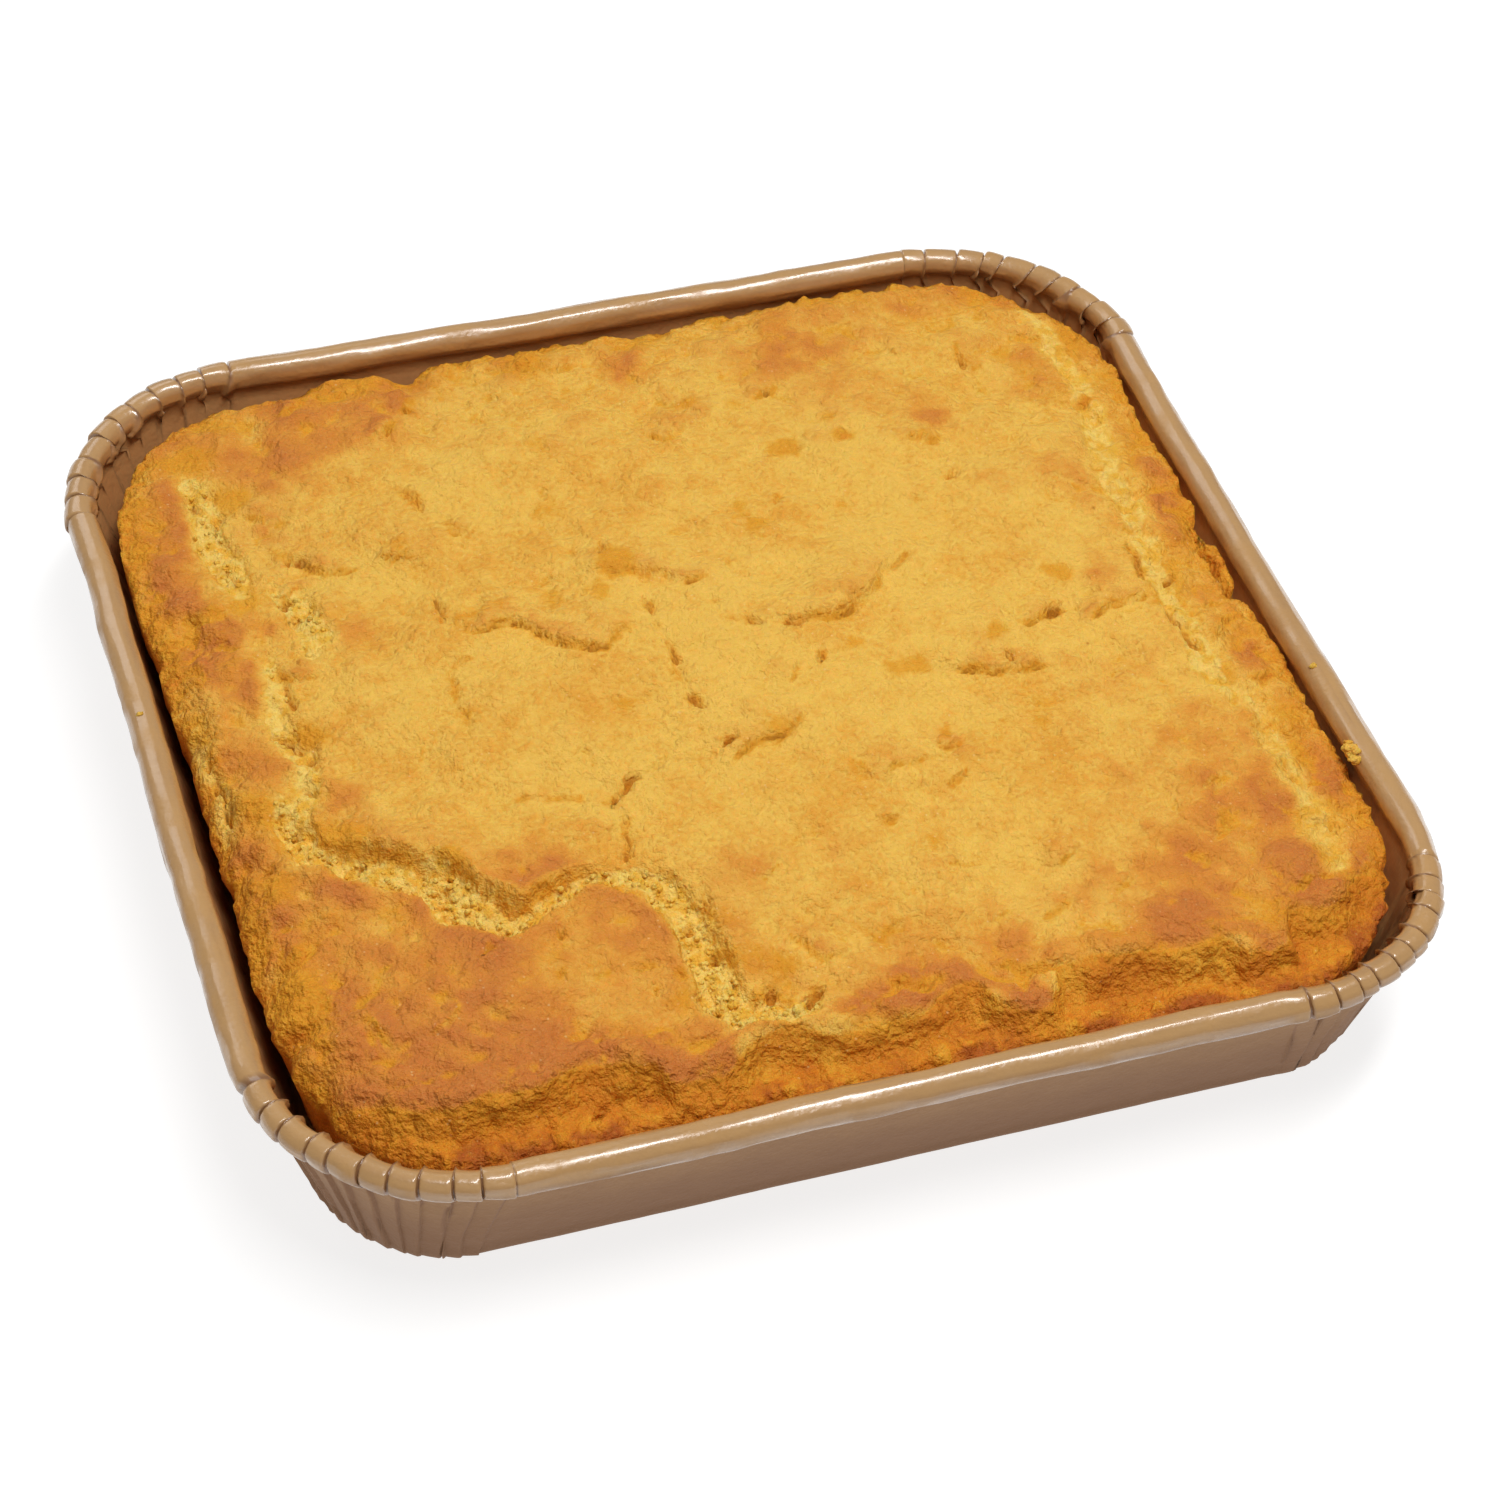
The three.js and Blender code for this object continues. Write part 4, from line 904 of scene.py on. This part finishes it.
def tray_stations():
    """Places round the tray: corner, turn, share of the side, pleat number, place within the pleat."""
    rows = []
    random = np.random.default_rng(PLEAT_SEED)
    for corner, (first, last) in enumerate(PLEAT_TURNS):
        cuts = np.linspace(first, last, PLEATS + 1)
        cuts[1:-1] += random.uniform(-PLEAT_SHIFT, PLEAT_SHIFT, PLEATS - 1) * (last - first) / PLEATS
        rows += [(corner, turn, 0.0, -1, 0.5) for turn in np.linspace(0, first, 6)[:-1]]
        for pleat in range(PLEATS):
            for within in PLEAT_STEPS:
                turn = mix(cuts[pleat], cuts[pleat + 1], within)
                rows.append((corner, turn, 0.0, corner * 20 + pleat, within))
        rows += [(corner, turn, 0.0, -1, 0.5) for turn in np.linspace(last, 90, 12)[:-1]]
        rows += [(corner, 90.0, step / SIDE_STEPS, -1, 0.5) for step in range(SIDE_STEPS)]
    return np.array(rows)


def tray_profile():
    """The tray's section: kind of surface, its own measure, and depth in the paper, from under the floor
    up the outside, over the roll and down the inside to the floor."""
    heights = np.linspace(0, 1, 12)[1:-1]
    around_roll = np.linspace(WALL_OUTSIDE_AT_ROLL, WALL_INSIDE_AT_ROLL, 30)
    return ([("heel", angle, 0.0) for angle in np.linspace(0, 90, 7)]
            + [("wall", share, 0.0) for share in heights]
            + [("roll", angle, 0.0) for angle in around_roll]
            + [("wall", share, PAPER) for share in heights[::-1]]
            + [("heel", angle, PAPER) for angle in np.linspace(90, 0, 6)])


def roll_ring(angle, stations):
    """The rolled rim at an angle round its tube: 0 faces out and 90 up."""
    corner_share = ease(np.sin(np.radians(stations[:, 1] * 2)), 0, 0.5)
    radius = mix(ROLL_RADIUS, CORNER_ROLL_RADIUS, corner_share)
    inset = radius * (1 - math.cos(math.radians(angle)))
    z = TRAY_HEIGHT - radius * (1 - math.sin(math.radians(angle)))
    return TRAY_HALF - inset, RIM_CORNER - inset, z


def heel_ring(angle, inside):
    """The heel, where the floor turns up into the wall."""
    radius = HEEL_RADIUS - inside
    out = radius * math.sin(math.radians(angle)) - HEEL_RADIUS
    return BASE_HALF + out, BASE_CORNER + out, HEEL_RADIUS - radius * math.cos(math.radians(angle))


def wall_ring(share, inside, stations):
    """The wall, some share of the way from the heel up to the roll."""
    foot = heel_ring(90, inside)
    head = roll_ring(WALL_INSIDE_AT_ROLL if inside else WALL_OUTSIDE_AT_ROLL, stations)
    return [mix(low, high, share) for low, high in zip(foot, head)]


def make_tray():
    """The whole tray, skinned over its section at every station, with pleats and dents pressed in."""
    stations = tray_stations()
    corner, turn, share, pleat, within = stations.T
    pleated = pleat >= 0
    turned = np.radians(90 * corner + np.where(share > 0, 90.0, turn))
    out_x, out_y = np.cos(turned), np.sin(turned)
    slit_gap = np.minimum(within, 1 - within) * RIM_CORNER * math.radians(90) / PLEATS
    groove = pleated * hump(slit_gap, GROOVE_WIDTH)
    bulge = pleated * PLEAT_BULGE * np.sin(math.pi * within) ** 0.6
    lean = lattice(pleat, pleat * 0 + 3, 200)
    run = turn + 60 * corner + share * 130
    along = turn * 0.66 + share * 124 + corner * 190
    everywhere = np.ones(len(stations))
    points = []
    marks = {"painted_shade_and_tone": [], "grease": [], "gloss": []}
    for kind, measure, inside in tray_profile():
        slit = 0.0
        if kind == "heel":
            half, radius, z = heel_ring(measure, inside)
            fold, height = measure / 90, 0.0
        elif kind == "wall":
            half, radius, z = wall_ring(measure, inside, stations)
            fold, height = 1.0, measure
        else:
            half, radius, z = roll_ring(measure, stations)
            slit, fold, height = 1.0, ROLL_FOLD, 1.0
        x, y = outline_place(half, radius, corner, turn, share)

        # Folds of the wall wander as they climb; the roll is cut into overlapping scales
        stray = 0.22 * hills(pleat * 7.3, pleat * 0 + height * 3.1, 1.0, 201)
        phase = np.mod(within + stray * (1 - slit) * pleated, 1)
        ramp = phase * (1 + 0.4 * lattice(pleat, pleat * 0, 202))
        step = pleated * FOLD_DEPTH * fold * ramp * (1 - 0.35 * ease(phase, 0.9, 1.0))
        dent = SMALL_DENT * hills(run, share * 0 + height * 4, 3.2, 203)
        dent = dent + LARGE_DENT * hills(run, share * 0 + 5, 15, 204)
        streak = hills(along / 13, share * 0 + measure / 17, 1.0, 205)
        streak = (streak + 0.7 * hills(along / 5, share * 0 + measure / 9, 1.0, 206)) * slit
        pressed = slit * (bulge - GROOVE_DEPTH * groove + PLEAT_LEAN * lean * pleated)
        out = step + pressed + dent * (0.4 + 0.6 * height) + STREAK_DEPTH * streak
        slant = slit * pleated * (0.5 + 0.6 * lean) * ((measure - 60) / 90) ** 2
        x, y = make_uneven(x + out_x * out - out_y * slant, y + out_y * out + out_x * slant, z)
        z = z + slit * (0.12 * lean * pleated - 0.35 * groove) + 0 * x
        if kind == "heel" and measure < 1:
            z = inside * everywhere
        points.append(np.stack([x, y, z], -1))

        # Painted shade: the roll darkens on its outer face, on its inner face towards the bread and in the
        # grooves between its pleats; streaks add tone along it
        if kind == "roll":
            outer = ease(70 - measure, 0, 120)
            inner = ease(measure, 128, 175)
            painted_shade_and_tone = 0.1 + 0.5 * outer + 0.5 * inner + 0.16 * streak + groove
            row = {"painted_shade_and_tone": np.clip(painted_shade_and_tone, 0, 1), "grease": 0.85 * inner, "gloss": 1 - 0.2 * outer}
        else:
            # Painted shade: the wall is darker all over, more so towards the bottom and in its creases, and
            # less inside
            crease = pleated * hump(np.minimum(phase, 1 - phase), 0.07)
            inner = 1.0 if inside else 0.0
            painted_shade_and_tone = np.clip(0.62 + 0.38 * (1 - ease(z, 2, 27)) + 0.5 * crease, 0, 1)
            row = {"painted_shade_and_tone": painted_shade_and_tone * (1 - 0.35 * inner), "grease": inner * (1 - 0.8 * crease),
                   "gloss": 0.75 * inner}
        for name, values in row.items():
            marks[name].append(values * everywhere)
    count = len(stations)
    rings = len(points)
    faces = ring_faces(rings, count)
    last = (rings - 1) * count
    total = rings * count
    faces += [((step + 1) % count, step, total) for step in range(count)]
    faces += [(last + step, last + (step + 1) % count, total + 1) for step in range(count)]
    points = np.concatenate([*points, [[0, 0, 0], [0, 0, PAPER]]])
    # The floor's two middle points: in full painted shade under the tray, partly inside
    ends = {"painted_shade_and_tone": [1, 0.6], "grease": [0, 1], "gloss": [0, 0.7]}
    marks = {name: np.concatenate([*values, ends[name]]) for name, values in marks.items()}
    return make_piece("tray", points, faces, marks)


# Materials

class Wire:
    """A value in a material's nodes, on which sums are written as plain expressions."""

    def __init__(self, tree, socket=None):
        self.tree = tree
        self.socket = socket

    def node(self, kind, settings=None, inputs=None, output=0):
        """Adds a node: its settings first, then its inputs as values or wires."""
        made = self.tree.nodes.new(kind)
        for name, value in (settings or {}).items():
            setattr(made, name, value)
        for name, value in (inputs or {}).items():
            if isinstance(value, Wire):
                self.tree.links.new(value.socket, made.inputs[name])
            else:
                made.inputs[name].default_value = value
        return Wire(self.tree, made.outputs[output] if made.outputs else None)

    def maths(self, operation, first, second):
        return self.node("ShaderNodeMath", {"operation": operation}, {0: first, 1: second})

    def __add__(self, other):
        return self.maths("ADD", self, other)

    def __sub__(self, other):
        return self.maths("SUBTRACT", self, other)

    def __rsub__(self, other):
        return self.maths("SUBTRACT", other, self)

    def __mul__(self, other):
        return self.maths("MULTIPLY", self, other)

    __radd__ = __add__
    __rmul__ = __mul__

    def between(self, low, high):
        """0 below low, 1 above high and smooth between them."""
        inputs = {"Value": self, "From Min": low, "From Max": high}
        return self.node("ShaderNodeMapRange", {"interpolation_type": "SMOOTHSTEP"}, inputs)

    def mark(self, name):
        """A mark that the piece's points carry."""
        return self.node("ShaderNodeAttribute", {"attribute_name": name}, output=2)

    def place(self):
        """Places in the object's own coordinates."""
        return self.node("ShaderNodeTexCoord", output=3)

    def noise(self, size, detail):
        """Noise over the object, with its largest features of a size in millimetres."""
        inputs = {"Vector": self.place(), "Scale": 1 / (size * MM), "Detail": detail}
        return self.node("ShaderNodeTexNoise", inputs=inputs)

    def specks(self, size):
        """Distance to the nearest of scattered specks, in cells of a size in millimetres."""
        inputs = {"Vector": self.place(), "Scale": 1 / (size * MM)}
        return self.node("ShaderNodeTexVoronoi", inputs=inputs)

    def blend(self, share, first, second):
        """Blends two colours."""
        return self.node("ShaderNodeMix", {"data_type": "RGBA"}, {0: share, 6: first, 7: second}, output=2)

    def tint(self, share, colour, light_factor):
        """A colour multiplied by another, for painted shade and painted highlights."""
        settings = {"data_type": "RGBA", "blend_type": "MULTIPLY"}
        return self.node("ShaderNodeMix", settings, {0: share, 6: colour, 7: light_factor}, output=2)

    def bump(self, height, strength, depth):
        """Relief from a height, depth millimetres deep."""
        inputs = {"Height": height, "Strength": strength, "Distance": depth * MM}
        return self.node("ShaderNodeBump", inputs=inputs)

    def surface(self, inputs):
        """Ends the material in its surface, with these inputs."""
        shader = self.node("ShaderNodeBsdfPrincipled", inputs=inputs)
        self.node("ShaderNodeOutputMaterial", inputs={"Surface": shader})


def shaken(value, *shakes):
    """A value made uneven by noises, each with how far it moves the value."""
    for noise, share in shakes:
        value = value + (noise - 0.5) * share
    return value


def start_material(name):
    """An empty material and the wire that starts its nodes."""
    material = bpy.data.materials.new(name)
    material.use_nodes = True
    material.node_tree.nodes.clear()
    return material, Wire(material.node_tree)


def bread_material():
    """Golden crust, toasted in places, with baked brown faces and pale crumb where it is torn, and painted
    shade, highlights and glints.
    """
    material, wire = start_material("baked_cornbread")
    clouds = wire.noise(26, 3)
    mottle = wire.noise(5, 3)
    lumps = wire.noise(2.0, 3)
    grain = wire.noise(1.0, 3)
    fine = wire.noise(0.38, 2)
    tone = shaken(0.35, (clouds, 1.7), (mottle, 1.2), (grain, 1.3), (fine, 0.8))
    crust = wire.blend(tone.between(0.0, 1.0), CRUST_LIGHT, CRUST_DEEP)
    toast = shaken(wire.mark("toast"), (mottle, 0.35), (grain, 0.25))
    crust = wire.blend(toast.between(0.0, 0.65), crust, TOAST_LIGHT)
    crust = wire.blend(toast.between(0.4, 1.05), crust, TOAST_DARK)
    # Golden stains and step faces, with hollows painted golden as warm painted shade
    gold = shaken(wire.mark("gold"), (grain, 0.7), (fine, 0.4))
    crust = wire.blend(gold.between(0.2, 0.85) * 0.8, crust, GOLD_STAIN_AND_SHADE)
    deep = shaken(wire.mark("deep"), (mottle, 0.25), (grain, 0.45), (fine, 0.2))
    crust = wire.blend(deep.between(0.15, 0.6) * 0.9, crust, BAKED_ORANGE)
    crust = wire.blend(deep.between(0.5, 1.05) * 0.9, crust, BAKED_BROWN)
    crumb = wire.blend(wire.noise(2.2, 3).between(0.38, 0.64), CRUMB_PALE, CRUMB_DEEP)
    torn = shaken(wire.mark("crumb"), (grain, 0.4))
    colour = wire.blend(torn.between(0.2, 0.7), crust, crumb)

    # Baked and torn places are rough: painted shade deepens the colour in their crevices, and a painted
    # highlight makes the crests paler
    rough = wire.mark("deep") + wire.mark("toast") * 0.6 + wire.mark("gold") * 0.5
    rough = (rough + wire.mark("crumb") * 0.15).between(0.1, 1.0)
    granules = wire.specks(1.5).between(0.0, 0.7)
    crevice = shaken(granules, (grain, 1.4)).between(0.35, 1.0)
    colour = wire.tint(crevice * (rough * 0.32 + 0.08), colour, CREVICE_PAINTED_SHADE)
    colour = wire.tint((lumps * 0.5 + fine * 0.5).between(0.5, 0.66), colour, CREST_PAINTED_HIGHLIGHT)
    # Painted glints: pale specks standing in for light catching the moist crust
    painted_glints = 1 - wire.specks(1.6).between(0.06, 0.18)
    colour = wire.blend(painted_glints * mottle.between(0.52, 0.62) * 0.3, colour, PAINTED_GLINT_PALE)
    # Painted shade in holes, step feet, pores, pits and hollows, and the real baked specks
    shade_and_specks = shaken(wire.mark("shade_and_specks"), (grain, 0.5), (fine, 0.3))
    colour = wire.blend(shade_and_specks.between(0.2, 0.75) * 0.8, colour, SHADE_AND_SPECK_BROWN)
    relief = lumps * 0.5 + grain * 0.55 + fine * 0.3 - granules * (rough * 0.18 + 0.06)
    wire.surface({
        "Base Color": colour,
        "Roughness": 0.7 - fine.between(0.5, 0.75) * 0.25,
        "Normal": wire.bump(relief, 0.9, 1.3),
        "Specular IOR Level": 0.32,
        "Subsurface Weight": 0.22,
        "Subsurface Radius": (1.0, 0.45, 0.12),
        "Subsurface Scale": 0.0016,
        "IOR": 1.42,
    })
    return material


def paper_material():
    """Brown baking paper: fibrous and matt outside, glossy on the roll, greased inside, with shade painted
    on.
    """
    material, wire = start_material("kraft_paper")
    fibres = wire.noise(0.8, 4)
    clouds = wire.noise(9, 3)
    # Painted shade from the mark, made uneven by clouds and fibres of the paper
    painted_shade_and_tone = shaken(wire.mark("painted_shade_and_tone"), (clouds, 0.22), (fibres, 0.16))
    colour = wire.blend(painted_shade_and_tone.between(0.0, 1.0), PAPER_LIGHT, PAPER_IN_PAINTED_SHADE)
    grease = wire.mark("grease") * (0.6 + clouds.between(0.35, 0.65) * 0.4)
    colour = wire.blend(grease, colour, PAPER_GREASED)
    gloss = wire.mark("gloss")
    roughness = 0.72 - gloss * (0.42 - wire.noise(1.6, 3).between(0.45, 0.75) * 0.16)
    relief = fibres * 0.35 + wire.noise(3.6, 3) * 0.8
    wire.surface({
        "Base Color": colour,
        "Roughness": roughness,
        "Coat Weight": gloss * wire.noise(9, 2).between(0.34, 0.54),
        "Coat Roughness": 0.14,
        "Normal": wire.bump(relief, 0.6, 0.5),
    })
    return material


def floor_material():
    """A pale floor that glows a little, so that it stays white."""
    material, wire = start_material("pale_floor")
    wire.surface({"Base Color": FLOOR_PALE, "Roughness": 0.9, "Emission Color": (1, 1, 1, 1),
                  "Emission Strength": FLOOR_GLOW})
    return material


# Crumbs

def crumb_tree(material):
    """Nodes that scatter crumbs over a surface where its crumb mark is strong."""
    tree = bpy.data.node_groups.new("scattered_crumbs", "GeometryNodeTree")
    smallest, largest = CRUMB_SIZES
    sockets = [("Geometry", "NodeSocketGeometry", None),
               ("Per square metre", "NodeSocketFloat", CRUMBS_PER_SQUARE_METRE),
               ("Smallest", "NodeSocketFloat", smallest * MM), ("Largest", "NodeSocketFloat", largest * MM),
               ("Seed", "NodeSocketInt", CRUMB_SEED)]
    for name, kind, value in sockets:
        socket = tree.interface.new_socket(name, in_out="INPUT", socket_type=kind)
        if value is not None:
            socket.default_value = value
    tree.interface.new_socket("Geometry", in_out="OUTPUT", socket_type="NodeSocketGeometry")
    wire = Wire(tree)
    given = tree.nodes.new("NodeGroupInput")
    inputs = {socket.name: Wire(tree, socket) for socket in given.outputs if socket.name}
    mark = wire.node("GeometryNodeInputNamedAttribute", {"data_type": "FLOAT"}, {"Name": "crumb"})
    likely = (mark - 0.6) * 2.5
    points = wire.node("GeometryNodeDistributePointsOnFaces", {"distribute_method": "RANDOM"},
                       {"Mesh": inputs["Geometry"], "Density": inputs["Per square metre"] * likely,
                        "Seed": inputs["Seed"]})
    grain = wire.node("GeometryNodeMeshIcoSphere", inputs={"Radius": 1.0, "Subdivisions": 2})
    shake = wire.node("ShaderNodeTexNoise", {"noise_dimensions": "3D"}, {"Scale": 1.3}, output=1)
    centred = wire.node("ShaderNodeVectorMath", {"operation": "SUBTRACT"},
                        {0: shake, 1: (0.5, 0.5, 0.5)})
    grain = wire.node("GeometryNodeSetPosition", inputs={"Geometry": grain, "Offset": centred})
    size = wire.node("FunctionNodeRandomValue", {"data_type": "FLOAT"},
                     {2: inputs["Smallest"], 3: inputs["Largest"], "Seed": inputs["Seed"]}, output=1)
    turn = wire.node("FunctionNodeRandomValue", {"data_type": "FLOAT_VECTOR"},
                     {0: (0, 0, 0), 1: (6.28, 6.28, 6.28), "Seed": inputs["Seed"]})
    crumbs = wire.node("GeometryNodeInstanceOnPoints",
                       inputs={"Points": points, "Instance": grain, "Scale": size, "Rotation": turn})
    crumbs = wire.node("GeometryNodeRealizeInstances", inputs={"Geometry": crumbs})
    crumbs = wire.node("GeometryNodeSetMaterial", inputs={"Geometry": crumbs, "Material": material})
    wire.node("NodeGroupOutput", inputs={"Geometry": crumbs})
    return tree


def scatter_crumbs(bed, material):
    """Crumbs lying in the fissures and torn bands of the bread, as one mesh."""
    carrier = bpy.data.objects.new("crumb_carrier", bed.data)
    bpy.context.scene.collection.objects.link(carrier)
    modifier = carrier.modifiers.new("crumbs", "NODES")
    modifier.node_group = crumb_tree(material)
    bpy.context.view_layer.update()
    shown = carrier.evaluated_get(bpy.context.evaluated_depsgraph_get())
    mesh = bpy.data.meshes.new_from_object(shown)
    mesh.shade_smooth()
    carrier.modifiers.remove(modifier)
    bpy.data.objects.remove(carrier)
    piece = bpy.data.objects.new("crumbs", mesh)
    bpy.context.scene.collection.objects.link(piece)
    return piece


def make_stray_crumbs():
    """The few crumbs that lie on the rim."""
    count = 2 * STRAY_STEPS
    points = []
    faces = []
    for index, (x, y, z, size) in enumerate(STRAY_CRUMBS):
        start = len(points)
        for ring in range(1, STRAY_STEPS):
            tilt = math.pi * ring / STRAY_STEPS
            for step in range(count):
                turn = math.pi * step / STRAY_STEPS
                way = np.array([math.sin(tilt) * math.cos(turn), math.sin(tilt) * math.sin(turn),
                                math.cos(tilt)])
                bumps = hills(way[0] * 2 + 5 * index, way[1] * 2 + way[2] * 2.6, 0.9, 210)
                points.append(np.array([x, y, z]) + way * size * (1 + 0.35 * bumps) * STRAY_STRETCH)
        last = len(points) - count
        faces += [tuple(start + corner for corner in face) for face in ring_faces(STRAY_STEPS - 1, count)]
        faces += [tuple(range(start + count - 1, start - 1, -1)), tuple(range(last, last + count))]
    return make_piece("stray_crumbs", np.array(points), [face[::-1] for face in faces])


# Camera, floor and light

def make_camera():
    """The camera, placed as the photo was taken."""
    azimuth = math.radians(CAMERA_AZIMUTH)
    elevation = math.radians(CAMERA_ELEVATION)
    roll = math.radians(CAMERA_ROLL)
    level = math.cos(elevation)
    back = Vector((math.sin(azimuth) * level, -math.cos(azimuth) * level, math.sin(elevation)))
    right = Vector((math.cos(azimuth), math.sin(azimuth), 0))
    up = back.cross(right)
    turned_right = right * math.cos(roll) + up * math.sin(roll)
    turned_up = up * math.cos(roll) - right * math.sin(roll)
    place = (Vector(CAMERA_TARGET) + back * CAMERA_DISTANCE) * MM
    matrix = Matrix((turned_right, turned_up, back)).transposed().to_4x4()
    matrix.translation = place
    data = bpy.data.cameras.new("camera")
    data.sensor_width = SENSOR_WIDTH
    data.lens = CAMERA_LENS
    data.clip_start = NEAREST_SEEN
    camera = bpy.data.objects.new("camera", data)
    camera.matrix_world = matrix
    bpy.context.scene.collection.objects.link(camera)
    bpy.context.scene.camera = camera


def make_light(name, place, size, power):
    """A soft box that faces the bread."""
    data = bpy.data.lights.new(name, "AREA")
    data.shape = "RECTANGLE"
    data.size, data.size_y = size
    data.energy = power
    light = bpy.data.objects.new(name, data)
    light.location = place
    light.rotation_euler = (Vector(place) - Vector(LIT_SPOT)).to_track_quat("Z", "Y").to_euler()
    bpy.context.scene.collection.objects.link(light)


def make_studio():
    """The pale floor, the lights and the white world round them."""
    corners = FLOOR_HALF * np.array([[-1, -1, 0], [1, -1, 0], [1, 1, 0], [-1, 1, 0]])
    floor = make_piece("floor", corners, [(0, 1, 2, 3)])
    floor.data.materials.append(floor_material())
    for name, place, size, power in LIGHTS:
        make_light(name, place, size, power)
    world = bpy.data.worlds.new("studio")
    world.use_nodes = True
    background = world.node_tree.nodes["Background"]
    background.inputs["Color"].default_value = (1, 1, 1, 1)
    background.inputs["Strength"].default_value = WORLD_STRENGTH
    bpy.context.scene.world = world


bpy.context.scene.view_settings.view_transform = "Standard"
make_camera()
make_studio()

baked = bread_material()
paper = paper_material()

bread = make_bread()
bread.data.materials.append(baked)
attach(bread, "root")
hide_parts("cornbread")

tray = make_tray()
tray.data.materials.append(paper)
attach(tray, "root")
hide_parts("baking_tray")

crumbs = scatter_crumbs(bread, baked)
stray = make_stray_crumbs()
stray.data.materials.append(baked)
for piece in (crumbs, stray):
    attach(piece, "root")
